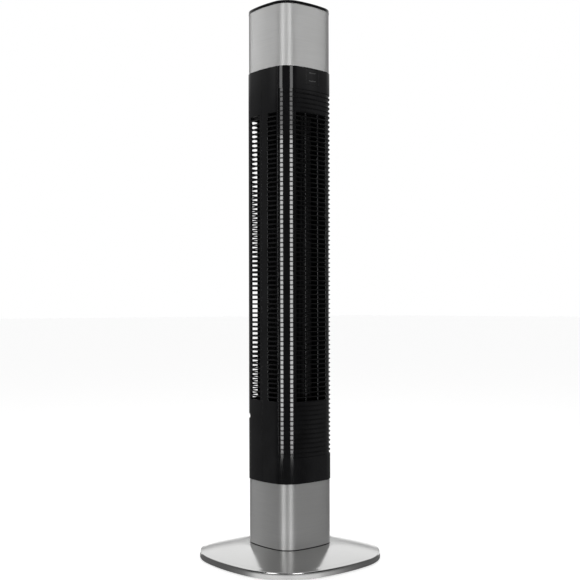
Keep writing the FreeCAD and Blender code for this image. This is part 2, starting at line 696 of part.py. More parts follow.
def impeller_section(index):
    """A moulded length of the wheel: a ring (a full disc on the first) with blades standing on it."""
    z0 = IMPELLER_BOTTOM + SECTION_HEIGHT * index
    z1 = z0 + SECTION_HEIGHT - 0.05
    inner = 12.1 if index == 0 else BLADE_INNER_R - 3.0
    disc = tube(IMPELLER_R, inner, z0, z0 + 2.0)
    one = blade(z0 + 1.0, z1)
    skew = 360.0 / BLADE_COUNT / SECTION_COUNT * index
    blades = [turned(one, skew + 360.0 * i / BLADE_COUNT) for i in range(BLADE_COUNT)]
    return disc.multiFuse(blades)


def impeller_end_cap():
    disc = rod(IMPELLER_R, IMPELLER_TOP, IMPELLER_TOP + 2.0)
    boss = rod(10.0, IMPELLER_TOP - 8.0, IMPELLER_TOP + 1.0)
    return without(join(disc, boss), rod(SHAFT_R + 0.02, IMPELLER_TOP - 6.0, IMPELLER_TOP + 5))


def stub_shaft():
    return rod(SHAFT_R, IMPELLER_TOP - 5.5, BEARING_Z[1] + 1.5)


def impeller_hub():
    """Rubber-cored hub that clamps the motor shaft, with a set screw across it."""
    hub = join(rod(12.0, IMPELLER_BOTTOM, IMPELLER_BOTTOM + 16), rod(15.0, IMPELLER_BOTTOM + 2.1, IMPELLER_BOTTOM + 5))
    cuts = [rod(SHAFT_R + 0.02, 300, IMPELLER_BOTTOM + 20)]
    cuts.append(rod_along_y(1.6, 0, 20, 0, IMPELLER_BOTTOM + 11))
    return without(hub, *cuts)


def hub_set_screw():
    return rod_along_y(1.5, SHAFT_R + 0.1, 11.0, 0, IMPELLER_BOTTOM + 11)


# ---------------------------------------------------------------- main motor
STATOR_Z = (244.0, 274.0)
STATOR_R = 41.0
ROTOR_R = 20.5
STATOR_SLOTS = 16
MOTOR_SHAFT_Z = (222.0, IMPELLER_BOTTOM + 15.0)
MOTOR_TOP_Z = 291.0
MOTOR_BOTTOM_Z = 227.0
BOLT_SPOTS = around(37.4, 4, 0.0)


def stator_core():
    core = tube(STATOR_R, ROTOR_R + 0.6, *STATOR_Z)
    slot = box(ROTOR_R + 3.0, 33.0, -1.9, 1.9, STATOR_Z[0] - 1, STATOR_Z[1] + 1)
    mouth = box(ROTOR_R - 1.0, ROTOR_R + 4.0, -0.8, 0.8, STATOR_Z[0] - 1, STATOR_Z[1] + 1)
    cuts = []
    for i in range(STATOR_SLOTS):
        angle = 360.0 / STATOR_SLOTS * (i + 0.5)
        cuts += [turned(slot, angle), turned(mouth, angle)]
    cuts += [rod(2.1, 200, 300, x, y) for x, y in BOLT_SPOTS]
    return without(core, *cuts)


def motor_windings():
    """Copper: end turns above and below the core, joined by what fills the slots."""
    low = tube(33.5, 24.0, STATOR_Z[0] - 7.5, STATOR_Z[0] - 0.3)
    high = tube(33.5, 24.0, STATOR_Z[1] + 0.3, STATOR_Z[1] + 7.5)
    bar = box(24.4, 32.6, -1.5, 1.5, STATOR_Z[0] - 2, STATOR_Z[1] + 2)
    bars = [turned(bar, 360.0 / STATOR_SLOTS * (i + 0.5)) for i in range(STATOR_SLOTS)]
    return low.multiFuse([high, *bars])


def end_bracket(z_core, z_end):
    """A die-cast end shell: a wall on the core, a web with vents and a bearing boss."""
    way = 1 if z_end > z_core else -1

    def span(a, b):
        return (min(a, b), max(a, b))

    web_in = z_end - way * 3.0
    wall = tube(STATOR_R, 35.0, *span(z_core, web_in + way * 0.5))
    web = rod(STATOR_R, *span(web_in, z_end))
    boss = rod(11.0, *span(z_end - way * 12.0, z_end + way * 1.0))
    vents = [turned(rod(5.0, 200, 300, 22.0, 0), 45 * i) for i in (0, 2, 4, 6)]
    holes = [rod(2.1, 200, 300, x, y) for x, y in BOLT_SPOTS + MOTOR_SCREWS]
    bore = rod(7.05, *span(z_end - way * 13.0, z_end - way * 1.0))
    return without(join(wall, web, boss), bore, rod(5.0, 200, 300), *vents, *holes)


def motor_brackets():
    low = end_bracket(STATOR_Z[0], MOTOR_BOTTOM_Z)
    high = end_bracket(STATOR_Z[1], MOTOR_TOP_Z)
    return Part.makeCompound([low, high])


def motor_bearings():
    low = tube(7.0, SHAFT_R + 0.05, MOTOR_BOTTOM_Z + 1.2, MOTOR_BOTTOM_Z + 10.2)
    high = tube(7.0, SHAFT_R + 0.05, MOTOR_TOP_Z - 10.2, MOTOR_TOP_Z - 1.2)
    return Part.makeCompound([low, high])


def motor_bolts():
    bolts = []
    for x, y in BOLT_SPOTS:
        bolts.append(screw(x, y, MOTOR_TOP_Z, MOTOR_TOP_Z - MOTOR_BOTTOM_Z + 4, 1.9, 3.3, 2.2, up=False))
    return Part.makeCompound(bolts)


def rotor():
    core = rod(ROTOR_R - 0.1, STATOR_Z[0] + 1, STATOR_Z[1] - 1)
    rings = [rod(19.0, STATOR_Z[0] - 3, STATOR_Z[0] + 2), rod(19.0, STATOR_Z[1] - 2, STATOR_Z[1] + 3)]
    return join(core, *rings).cut(rod(SHAFT_R + 0.02, 200, 300))


def motor_shaft():
    return rod(SHAFT_R, *MOTOR_SHAFT_Z)


def motor_mount_rubbers():
    spots = [tube(6.0, 2.45, MOTOR_TOP_Z + 0.05, LOWER_DECK_Z[0] - 0.05, x, y) for x, y in MOTOR_SCREWS]
    return Part.makeCompound(spots)


def motor_mount_screws():
    top = LOWER_DECK_Z[1]
    return Part.makeCompound([screw(x, y, top, 14.0, 1.9, 3.8, 2.0, up=False) for x, y in MOTOR_SCREWS])


# ---------------------------------------------------------------- upper column
UPPER_CHASSIS_Z = (914.0, 1064.0)
POWER_BOARD_Y = 24.0
POWER_BOARD_POSTS = [(x, z) for x in (-38.0, 38.0) for z in (966.0, 1042.0)]
DISPLAY_BOARD_Y = (-63.0, -61.4)
DISPLAY_BOARD_Z = (919.5, 954.5)
LIGHT_ROW_Z = (929.3, 944.8)


def upper_band():
    return body_sleeve(BAND_INSET, BAND_INNER_INSET, BODY_TOP, UPPER_BAND_TOP)


def upper_chassis():
    z0, z1 = UPPER_CHASSIS_Z
    wall = body_sleeve(CHASSIS_INSET, CHASSIS_INSET + CHASSIS_WALL, z0, z1)
    collars = [
        body_sleeve(BAND_INNER_INSET + 0.3, CHASSIS_INSET + 0.5, BODY_TOP + 2, BODY_TOP + 14),
        body_sleeve(BAND_INNER_INSET + 0.3, CHASSIS_INSET + 0.5, z1 - 14, z1),
    ]
    floor = body_block(CHASSIS_INSET + 1, 956.0, 958.5)
    frame = box(-23.5, 23.5, -BIG, DISPLAY_BOARD_Y[1] + 1.8, DISPLAY_BOARD_Z[0] - 3, 957.0)
    frame = frame.common(body_block(CHASSIS_INSET, 900, 960))
    recess = box(-20.2, 20.2, -BIG, DISPLAY_BOARD_Y[1] + 0.05, DISPLAY_BOARD_Z[0] - 0.2, DISPLAY_BOARD_Z[1] + 0.2)
    window = box(-16.0, 16.0, -BIG, -50.0, DISPLAY_BOARD_Z[0] + 4, DISPLAY_BOARD_Z[1] - 4)
    cuts = [recess, window, rod(12.0, 940, 980, 30, 20)] + shell_screw_holes(UPPER_SHELL_SCREW_Z)
    posts = [rod_along_y(3.5, POWER_BOARD_Y + 1.65, BIG, x, z) for x, z in POWER_BOARD_POSTS]
    posts = [p.common(body_block(CHASSIS_INSET + 0.5, z0, z1)) for p in posts]
    cuts += [rod_along_y(1.45, 0, POWER_BOARD_Y + 10, x, z) for x, z in POWER_BOARD_POSTS]
    blocks = screw_blocks(UPPER_SHELL_SCREW_Z, 8.0)
    return without(join(wall, *collars, floor, frame, *posts, *blocks), *cuts)


def power_board():
    board = box(-42.0, 42.0, POWER_BOARD_Y, POWER_BOARD_Y + 1.6, 962.0, 1046.0)
    holes = [rod_along_y(1.7, 0, 60, x, z) for x, z in POWER_BOARD_POSTS]
    return without(board, *holes)


def board_transformer():
    front = POWER_BOARD_Y - 0.05
    core = box(-34.0, -4.0, front - 26.0, front - 2.0, 970.0, 996.0)
    bobbin = box(-30.0, -8.0, front - 28.0, front, 974.0, 992.0)
    return join(core, bobbin)


def board_capacitors():
    """The fan motor's square run capacitor and three round ones, standing on the power board."""
    front = POWER_BOARD_Y - 0.05
    run = box(6.0, 36.0, front - 18.0, front, 970.0, 992.0)
    spots = [(-28.0, 1010.0, 5.0), (-12.0, 1014.0, 6.5), (8.0, 1012.0, 8.0), (28.0, 1010.0, 4.0)]
    return Part.makeCompound([run] + [rod_along_y(r, front - 3 * r, front, x, z) for x, z, r in spots])


def display_lens():
    """Smoked window in the grille's plain top, following the bow of the front."""
    skin = body_sleeve(0.15, 1.75, LENS_Z[0], LENS_Z[1])
    return skin.common(box(-LENS_HALF_X, LENS_HALF_X, -BIG, 0, 0, TOTAL_HEIGHT))


def control_boards():
    """The display board behind the lens and the switch board under the keys."""
    display = box(-20.0, 20.0, *DISPLAY_BOARD_Y, *DISPLAY_BOARD_Z)
    switch = box(-50.0, 50.0, -38.0, -6.0, *SWITCH_BOARD_Z)
    switch = without(switch, *[rod(1.7, 1050, 1080, x, y) for x, y in SWITCH_POSTS])
    return Part.makeCompound([display, switch])


def display_lights():
    """Two rows of flat light bars between the board and the lens."""
    front = DISPLAY_BOARD_Y[0] - 0.05
    bars = []
    for z in LIGHT_ROW_Z:
        for x in (-8.4, -3.6, 1.2, 6.0):
            bars.append(box(x, x + 2.8, front - 2.6, front, z, z + 1.8))
    return Part.makeCompound(bars)


# ---------------------------------------------------------------- top
CAP_FLOOR_TOP = 1078.4
CAP_FLOOR_BOTTOM = 1075.4
SWITCH_BOARD_Z = (1063.6, 1065.2)
SWITCH_TOP = 1069.8
SWITCH_POSTS = [(x, y) for x in (-44.0, 44.0) for y in (-32.0, -12.0)]


def button_x(index):
    return (index - (len(BUTTON_NAMES) - 1) / 2) * BUTTON_SPACING


def top_cap():
    """Black lid: a rounded edge standing on the band, a plug inside it and a sunk floor for the keys."""
    rim = body_block(BAND_INSET, UPPER_BAND_TOP + 0.05, TOTAL_HEIGHT)
    top_edges = [e for e in rim.Edges if abs(e.BoundBox.ZMin - TOTAL_HEIGHT) < 1e-6]
    rim = rim.makeFillet(1.2, top_edges)
    plug = body_sleeve(BAND_INNER_INSET + 0.3, BAND_INNER_INSET + 2.3, UPPER_CHASSIS_Z[1] + 0.2, 1076.0)
    floor_well = body_block(7.0, CAP_FLOOR_TOP, TOTAL_HEIGHT + 1)
    under_well = body_block(BAND_INNER_INSET + 2.3, 1070.0, CAP_FLOOR_BOTTOM)
    posts = [rod(3.5, SWITCH_BOARD_Z[1] + 0.05, CAP_FLOOR_BOTTOM + 1, x, y) for x, y in SWITCH_POSTS]
    holes = [rod(5.6, 1070, 1090, button_x(i), BUTTON_ROW_Y) for i in range(len(BUTTON_NAMES))]
    holes += [rod(1.42, 1050, CAP_FLOOR_BOTTOM + 1, x, y) for x, y in SWITCH_POSTS]
    shell = join(without(rim, floor_well, under_well), plug)
    return without(join(shell, *posts), *holes)


def panel_sheet():
    """Glossy printed sheet in the sunk floor, with a hole for each key."""
    sheet = body_block(7.3, CAP_FLOOR_TOP + 0.02, CAP_FLOOR_TOP + 0.42)
    holes = [rod(5.6, 1070, 1090, button_x(i), BUTTON_ROW_Y) for i in range(len(BUTTON_NAMES))]
    return without(sheet, *holes)


def key(index):
    """A round key with a retaining flange under the floor and a stem that enters its switch."""
    x = button_x(index)
    cap = rod(5.3, CAP_FLOOR_BOTTOM - 0.6, TOTAL_HEIGHT - 0.1, x, BUTTON_ROW_Y)
    top = [e for e in cap.Edges if abs(e.BoundBox.ZMin - (TOTAL_HEIGHT - 0.1)) < 1e-6]
    cap = cap.makeFillet(0.6, top)
    flange = rod(6.8, CAP_FLOOR_BOTTOM - 1.6, CAP_FLOOR_BOTTOM - 0.1, x, BUTTON_ROW_Y)
    stem = rod(1.6, SWITCH_TOP - 0.8, CAP_FLOOR_BOTTOM - 1, x, BUTTON_ROW_Y)
    return join(cap, flange, stem)


def key_switches():
    """One push switch under each key, open on top for the key's stem."""
    pieces = []
    for i in range(len(BUTTON_NAMES)):
        x = button_x(i)
        case = box(x - 3.2, x + 3.2, BUTTON_ROW_Y - 3.2, BUTTON_ROW_Y + 3.2, SWITCH_BOARD_Z[1] + 0.02, SWITCH_TOP)
        well = rod(1.9, SWITCH_TOP - 0.8 - BUTTON_TRAVEL - 0.4, SWITCH_TOP + 1, x, BUTTON_ROW_Y)
        pieces.append(case.cut(well))
    return Part.makeCompound(pieces)


def case_screw(x, y, z_seat, up):
    return screw(x, y, z_seat, 7.5, 1.4, 2.7, 1.6, up)


def case_screws():
    """One size of small screw for the swing motor, the power board and the switch board."""
    motor = [case_screw(x, DRIVE_MOTOR_Y, DRIVE_SEAT_Z + 1.2, False) for x in (-DRIVE_EAR_X, DRIVE_EAR_X)]
    switch = [case_screw(x, y, SWITCH_BOARD_Z[0], True) for x, y in SWITCH_POSTS]
    power = []
    for x, z in POWER_BOARD_POSTS:
        one = case_screw(0, 0, 0, False)
        one.rotate(Vector(0, 0, 0), Vector(1, 0, 0), 90)
        power.append(moved(one, x, POWER_BOARD_Y, z))
    return Part.makeCompound(motor + switch + power)


# ---------------------------------------------------------------- the assembly
def build():
    left = side_panel_left()
    parts.update({
        "base_cover": base_cover(),
        "base_pan": base_pan(),
        "base_weight": base_weight(),
        "base_feet": base_feet(),
        "base_bolts": base_bolts(),
        "base_screws": base_screws(),
        "cord_gland": cord_gland(),
        "pivot_hub": pivot_hub(),
        "slide_ring": slide_ring(),
        "fixed_gear": fixed_gear(),
        "swing_pinion": swing_pinion(),
        "swing_motor": swing_motor(),
        "swivel_plate": swivel_plate(),
        "swivel_plate_screws": swivel_plate_screws(),
        "lower_band": lower_band(),
        "lower_chassis": lower_chassis(),
        "front_grille": front_grille(),
        "side_panel_left": left,
        "side_panel_right": mirrored_in_x(left),
        "rear_shell": rear_shell(),
        "rear_screws": rear_screws(),
        "lower_deck": lower_deck(),
        "upper_deck": upper_deck(),
        "scroll_wall": scroll_wall(),
        "vortex_wall": vortex_wall(),
        "bearing_rubber": bearing_rubber(),
        "top_bearing": top_bearing(),
        "impeller_drive_section": impeller_section(0),
        "impeller_sections": Part.makeCompound([impeller_section(i) for i in range(1, SECTION_COUNT)]),
        "impeller_hub": impeller_hub(),
        "hub_set_screw": hub_set_screw(),
        "impeller_end_cap": impeller_end_cap(),
        "impeller_stub_shaft": stub_shaft(),
        "motor_stator": stator_core(),
        "motor_windings": motor_windings(),
        "motor_brackets": motor_brackets(),
        "motor_bearings": motor_bearings(),
        "motor_bolts": motor_bolts(),
        "motor_rotor": rotor(),
        "motor_shaft": motor_shaft(),
        "motor_mount_rubbers": motor_mount_rubbers(),
        "motor_mount_screws": motor_mount_screws(),
        "upper_band": upper_band(),
        "upper_chassis": upper_chassis(),
        "power_board": power_board(),
        "board_transformer": board_transformer(),
        "board_capacitors": board_capacitors(),
        "display_lens": display_lens(),
        "control_boards": control_boards(),
        "display_lights": display_lights(),
        "top_cap": top_cap(),
        "panel_sheet": panel_sheet(),
        "key_switches": key_switches(),
        "case_screws": case_screws(),
    })
    for i, name in enumerate(BUTTON_NAMES):
        parts[f"{name}_key"] = key(i)


def main():
    os.makedirs("parts", exist_ok=True)
    for old in os.listdir("parts"):
        os.remove(os.path.join("parts", old))
    build()
    for name, shape in parts.items():
        shape.exportStep(f"parts/{name}.step")
        good = all(s.isValid() and s.isClosed() for s in shape.Solids)
        print(f"{name}: {len(shape.Solids)} solid(s), {shape.Volume / 1000:.1f} cm3", "" if good else "BAD")
    print(len(parts), "parts")


main()
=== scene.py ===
import json
import math

import bpy
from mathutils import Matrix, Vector

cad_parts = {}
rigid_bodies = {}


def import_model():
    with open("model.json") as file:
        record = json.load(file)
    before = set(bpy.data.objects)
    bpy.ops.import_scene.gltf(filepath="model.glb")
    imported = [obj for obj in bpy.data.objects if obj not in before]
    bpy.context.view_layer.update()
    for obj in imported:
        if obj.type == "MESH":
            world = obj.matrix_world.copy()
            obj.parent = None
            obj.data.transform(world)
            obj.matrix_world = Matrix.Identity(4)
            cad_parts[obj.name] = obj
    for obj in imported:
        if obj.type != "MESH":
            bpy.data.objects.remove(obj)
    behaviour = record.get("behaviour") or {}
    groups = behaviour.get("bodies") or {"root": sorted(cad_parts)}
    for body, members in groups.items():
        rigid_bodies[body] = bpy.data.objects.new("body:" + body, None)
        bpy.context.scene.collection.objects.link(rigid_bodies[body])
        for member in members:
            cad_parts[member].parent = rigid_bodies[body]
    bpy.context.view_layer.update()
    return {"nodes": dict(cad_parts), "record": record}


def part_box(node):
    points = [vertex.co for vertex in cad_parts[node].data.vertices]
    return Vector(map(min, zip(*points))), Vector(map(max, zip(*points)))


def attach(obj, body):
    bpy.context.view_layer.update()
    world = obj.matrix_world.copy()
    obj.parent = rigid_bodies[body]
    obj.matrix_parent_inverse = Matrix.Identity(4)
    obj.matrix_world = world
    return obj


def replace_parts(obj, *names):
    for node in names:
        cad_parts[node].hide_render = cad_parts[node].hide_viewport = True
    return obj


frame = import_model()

# The looks of the tower fan, built round its CAD model. Lengths are in metres unless a comment says
# otherwise. +Z is up, the front faces -Y, and the column's axis is the Z axis.
MM = 0.001

# ---------------------------------------------------------------- sizes, from the frame
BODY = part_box("rear_shell")
BODY_HALF = BODY[1].x
CORNER_R = 38.0 * MM
BOW = 163.0 * MM  # the centre of a side's arc lies this far past the axis
BODY_Z = (BODY[0].z, BODY[1].z)
BAND_INSET = BODY_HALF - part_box("upper_band")[1].x
BAND_WALL = 1.0 * MM
BAND_EDGE_R = 0.5 * MM
PLATE_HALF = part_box("base_cover")[1].x
BODY_SHAPE = (BODY_HALF, CORNER_R, BOW)  # a shape is a half width, a corner radius and a bow
RIM = (PLATE_HALF, 122.0 * MM, 211.0 * MM)
CROWN = (82.0 * MM, 72.0 * MM, 40.0 * MM)  # the flat top of the plate's dome

GRILLE_EDGE_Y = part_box("front_grille")[1].y
SHELL_WALL = 2.4 * MM
FIN_PITCH = 8.98 * MM
FIN_COUNT = 78
TOP_FIN_Z = 904.5 * MM
RIB_WALL_INSET = 2.3 * MM  # between the fins the front stands back, so that the fins end flush
RIB_WALL = 1.4 * MM
FIN_PROUD = 0.2 * MM
FIN_HALF_THICKNESS = 1.1 * MM
FIN_NOSE = 0.8 * MM
FIRST_SLOT_ROW = 4
SLOT_ROWS = 62
SLOT_HEIGHT = 6.4 * MM
REAR_SLOT_HEIGHT = 6.0 * MM
RIB_ZONE = (205.2 * MM, 911.8 * MM)
FRONT_SLOTS = [(-38.5, -17.2), (-14.2, 14.2), (17.2, 38.5)]  # millimetres in x, as are REAR_SLOTS
SIDE_SLOT = (-40.5, -17.2)  # millimetres in y, as is REAR_SIDE_SLOT
REAR_SIDE_SLOT = (6.0, 38.0)
REAR_SLOTS = [(-43.5, -26.0), (-21.0, -2.5), (2.5, 21.0), (26.0, 43.5)]
GRIP_Z = 279.5 * MM
GRIP_R = 6.0 * MM
GRIP_OUT = 2.4 * MM  # the groove's axis stands this far outside the corner
GRIP_STEPS = 9  # rows of points in half a groove
SLOT_EDGE_BEVEL = 0.28 * MM


# ---------------------------------------------------------------- the column's outline
def corner_centre(half, corner_r, bow):
    reach = half + bow - corner_r
    return (-2 * bow + math.sqrt(8 * reach * reach - 4 * bow * bow)) / 4


SIDE_STEPS = 18
CORNER_STEPS = 22


def outline(half, corner_r, bow):
    """Points and outward normals round a bowed square, anticlockwise from the middle of the front."""
    side_r = half + bow
    corner = corner_centre(half, corner_r, bow)
    spread = math.atan2(corner, bow + corner)
    half_steps = SIDE_STEPS // 2
    quarter = []
    for i in range(half_steps):
        a = spread * i / half_steps
        quarter.append((side_r * math.sin(a), bow - side_r * math.cos(a), a))
    for i in range(CORNER_STEPS):
        a = spread + (math.pi / 2 - 2 * spread) * i / CORNER_STEPS
        quarter.append((corner + corner_r * math.sin(a), -corner - corner_r * math.cos(a), a))
    for i in range(half_steps):
        a = math.pi / 2 - spread * (1 - i / half_steps)
        b = a - math.pi / 2
        quarter.append((-(bow - side_r * math.cos(b)), side_r * math.sin(b), a))
    points = []
    for k in range(4):
        c, s = math.cos(k * math.pi / 2), math.sin(k * math.pi / 2)
        for x, y, a in quarter:
            n = a + k * math.pi / 2
            points.append((Vector((x * c - y * s, x * s + y * c)), Vector((math.sin(n), -math.cos(n)))))
    return points


def body_point(angle):
    """Point and normal of the black body's outline where its normal has this angle from the front."""
    quarter = math.floor((angle + math.pi / 4) / (math.pi / 2))
    a = angle - quarter * math.pi / 2
    side_r = BODY_HALF + BOW
    corner = corner_centre(BODY_HALF, CORNER_R, BOW)
    spread = math.atan2(corner, BOW + corner)
    if abs(a) <= spread:
        x, y = side_r * math.sin(a), BOW - side_r * math.cos(a)
    else:
        x = math.copysign(corner, a) + CORNER_R * math.sin(a)
        y = -corner - CORNER_R * math.cos(a)
    c, s = math.cos(quarter * math.pi / 2), math.sin(quarter * math.pi / 2)
    return Vector((x * c - y * s, x * s + y * c)), Vector((math.sin(angle), -math.cos(angle)))


HALVINGS = 40
TURN_STEP = math.radians(4)
LENGTH_SAMPLES = 16


def angle_where(test, low, high):
    """The outline angle between low and high where test changes from negative to positive."""
    for _ in range(HALVINGS):
        mid = (low + high) / 2
        if test(body_point(mid)[0]) < 0:
            low = mid
        else:
            high = mid
    return (low + high) / 2


def angle_at_x(x, rear=False):
    """On the front, or the rear, the outline angle at this x (metres)."""
    if rear:
        return angle_where(lambda p: x - p.x, math.pi * 0.6, math.pi * 1.4)
    return angle_where(lambda p: p.x - x, -math.pi * 0.4, math.pi * 0.4)


def angle_at_y(y):
    """On the right side, the outline angle at this y (metres)."""
    return angle_where(lambda p: p.y - y, math.pi * 0.1, math.pi * 0.9)


def filled(breaks, step=2.4 * MM):
    """The break angles with more between them, so that chords are short and turn little."""
    angles = []
    for a, b in zip(breaks, breaks[1:]):
        length = 0.0
        last = body_point(a)[0]
        for i in range(1, LENGTH_SAMPLES + 1):
            here = body_point(a + (b - a) * i / LENGTH_SAMPLES)[0]
            length += (here - last).length
            last = here
        turn = abs(b - a)
        count = max(1, math.ceil(length / step), math.ceil(turn / TURN_STEP))
        angles += [a + (b - a) * i / count for i in range(count)]
    return angles + [breaks[-1]]


# ---------------------------------------------------------------- mesh making
def new_mesh(name, vertices, faces, material, smooth_deg=35.0):
    mesh = bpy.data.meshes.new(name)
    mesh.from_pydata(vertices, [], faces)
    mesh.validate()
    mesh.shade_smooth()
    mesh.set_sharp_from_angle(angle=math.radians(smooth_deg))
    piece = bpy.data.objects.new(name, mesh)
    bpy.context.scene.collection.objects.link(piece)
    mesh.materials.append(material)
    return piece


def applied(piece):
    """Makes the piece's modifiers part of its mesh, with the normals that they give."""
    graph = bpy.context.evaluated_depsgraph_get()
    mesh = bpy.data.meshes.new_from_object(piece.evaluated_get(graph))
    piece.modifiers.clear()
    piece.data = mesh
    return piece


def ring_faces(rings, close):
    """Quads between rings of equal length. close: the last ring joins the first."""
    count = len(rings[0])
    faces = []
    for j in range(len(rings) if close else len(rings) - 1):
        k = (j + 1) % len(rings)
        for i in range(count):
            n = (i + 1) % count
            faces.append((j * count + i, j * count + n, k * count + n, k * count + i))
    return faces


def lathe(name, rings, material, close=True, smooth_deg=35.0):
    vertices = [v for ring in rings for v in ring]
    return new_mesh(name, vertices, ring_faces(rings, close), material, smooth_deg)


def shape_ring(shape, inset, z):
    """The points round a bowed square, this far inside its outline, at this height."""
    return [(p.x - n.x * inset, p.y - n.y * inset, z) for p, n in outline(*shape)]


def circle(x, y, radius, z):
    around = [2 * math.pi * i / KEY_STEPS for i in range(KEY_STEPS)]
    return [(x + radius * math.cos(a), y + radius * math.sin(a), z) for a in around]


def rounded(corner_inset, corner_z, radius, z_way, steps=4):
    """(inset, z) points round a convex outer edge whose sharp corner is given. z_way: 1 low edge, -1 high."""
    points = []
    for i in range(steps + 1):
        a = math.pi / 2 * i / steps
        points.append((
            corner_inset + radius * (1 - math.sin(a)),
            corner_z + z_way * radius * (1 - math.cos(a)),
        ))
    return points


# ---------------------------------------------------------------- materials
def principled(name, color, roughness, metallic=0.0, specular=0.5):
    material = bpy.data.materials.new(name)
    material.use_nodes = True
    shader = material.node_tree.nodes["Principled BSDF"]
    shader.inputs["Base Color"].default_value = (*color, 1)
    shader.inputs["Roughness"].default_value = roughness
    shader.inputs["Metallic"].default_value = metallic
    shader.inputs["Specular IOR Level"].default_value = specular
    return material, material.node_tree, shader


NOISE_ROUGHNESS = 0.55
NOISE_SPAN = (0.3, 0.7)  # where nearly all of a noise texture's values lie
SCRATCH_STRETCH = 0.012
SCRATCH_SCALE = 1900.0
CLOUD_SCALE = 28.0  # the slow change of colour and gloss over a moulding
STEEL_CLOUD_SCALE = 9.0


def noise(tree, scale, detail, stretch=(1, 1, 1)):
    """A noise texture in the object's own coordinates, stretched along the axes."""
    nodes, links = tree.nodes, tree.links
    place = nodes.new("ShaderNodeTexCoord")
    mapping = nodes.new("ShaderNodeMapping")
    mapping.inputs["Scale"].default_value = stretch
    texture = nodes.new("ShaderNodeTexNoise")
    texture.inputs["Scale"].default_value = scale
    texture.inputs["Detail"].default_value = detail
    texture.inputs["Roughness"].default_value = NOISE_ROUGHNESS
    links.new(place.outputs["Object"], mapping.inputs["Vector"])
    links.new(mapping.outputs["Vector"], texture.inputs["Vector"])
    return texture.outputs["Fac"]


def mapped(tree, value, low, high):
    """A number between low and high that follows a noise value."""
    node = tree.nodes.new("ShaderNodeMapRange")
    node.inputs["From Min"].default_value, node.inputs["From Max"].default_value = NOISE_SPAN
    node.inputs["To Min"].default_value = low
    node.inputs["To Max"].default_value = high
    tree.links.new(value, node.inputs["Value"])
    return node.outputs["Result"]


def tint(tree, value, low, high, span=NOISE_SPAN):
    """A colour between low and high that follows a value."""
    node = tree.nodes.new("ShaderNodeValToRGB")
    for element, position, color in zip(node.color_ramp.elements, span, (low, high)):
        element.position = position
        element.color = (*color, 1)
    tree.links.new(value, node.inputs["Fac"])
    return node.outputs["Color"]


def bumped(tree, shader, height, strength, distance):
    node = tree.nodes.new("ShaderNodeBump")
    node.inputs["Strength"].default_value = strength
    node.inputs["Distance"].default_value = distance
    tree.links.new(height, node.inputs["Height"])
    tree.links.new(node.outputs["Normal"], shader.inputs["Normal"])


def shaded(color, share):
    return tuple(min(1.0, c * share) for c in color)


def brushed_steel(name, color, roughness, along_x=False, anisotropy=0.85, turn=0.25):
    """Steel with fine parallel scratches, which run along X or else round Z."""
    material, tree, shader = principled(name, color, roughness, 1.0)
    shader.inputs["Anisotropic"].default_value = anisotropy
    shader.inputs["Anisotropic Rotation"].default_value = turn
    stretch = (SCRATCH_STRETCH, 1.0 if along_x else SCRATCH_STRETCH, 1.0)
    lines = noise(tree, SCRATCH_SCALE, 3.0, stretch)
    cloud = noise(tree, STEEL_CLOUD_SCALE, 3.0)
    tree.links.new(tint(tree, lines, shaded(color, 0.95), shaded(color, 1.04)), shader.inputs["Base Color"])
    rough = tree.nodes.new("ShaderNodeMath")
    rough.operation = "ADD"
    tree.links.new(mapped(tree, lines, -0.02, 0.02), rough.inputs[0])
    tree.links.new(mapped(tree, cloud, roughness - 0.025, roughness + 0.025), rough.inputs[1])
    tree.links.new(rough.outputs[0], shader.inputs["Roughness"])
    bumped(tree, shader, lines, 0.06, 0.000006)
    tangent = tree.nodes.new("ShaderNodeTangent")
    tangent.direction_type = "RADIAL"
    tangent.axis = "Z"
    tree.links.new(tangent.outputs["Tangent"], shader.inputs["Tangent"])
    return material


def moulded(name, color, roughness, grain=900.0, depth=0.08, mottled=0.25, gloss_change=0.03):
    """Moulded plastic: a fine grain, slightly uneven gloss and colour."""
    material, tree, shader = principled(name, color, roughness)
    fine = noise(tree, grain, 5.0)
    cloud = noise(tree, CLOUD_SCALE, 3.0)
    low, high = shaded(color, 1 - mottled), shaded(color, 1 + mottled)
    tree.links.new(tint(tree, cloud, low, high), shader.inputs["Base Color"])
    changing = mapped(tree, cloud, roughness - gloss_change, roughness + gloss_change)
    tree.links.new(changing, shader.inputs["Roughness"])
    bumped(tree, shader, fine, depth, 0.00002)
    return material


def cast_metal(name, color, roughness, grain, depth):
    """Cast, sintered or plated metal: a fine grain that changes colour and gloss."""
    material, tree, shader = principled(name, color, roughness, 1.0)
    fine = noise(tree, grain, 6.0)
    tree.links.new(tint(tree, fine, shaded(color, 0.82), shaded(color, 1.1)), shader.inputs["Base Color"])
    tree.links.new(mapped(tree, fine, roughness - 0.08, roughness + 0.08), shader.inputs["Roughness"])
    bumped(tree, shader, fine, depth, 0.0002)
    return material


WAVE_PITCH = 0.314  # metres, at a wave texture scale of 1


def layered(name, color, roughness, pitch, metallic):
    """Fine layers across Z: motor laminations, or wound wire."""
    material, tree, shader = principled(name, color, roughness, metallic)
    place = tree.nodes.new("ShaderNodeTexCoord")
    wave = tree.nodes.new("ShaderNodeTexWave")
    wave.bands_direction = "Z"
    wave.inputs["Scale"].default_value = WAVE_PITCH / pitch
    wave.inputs["Distortion"].default_value = 0.4
    tree.links.new(place.outputs["Object"], wave.inputs["Vector"])
    layers = tint(tree, wave.outputs["Fac"], shaded(color, 0.6), color, (0.2, 0.8))
    tree.links.new(layers, shader.inputs["Base Color"])
    bumped(tree, shader, wave.outputs["Fac"], 0.5, 0.0003)
    return material


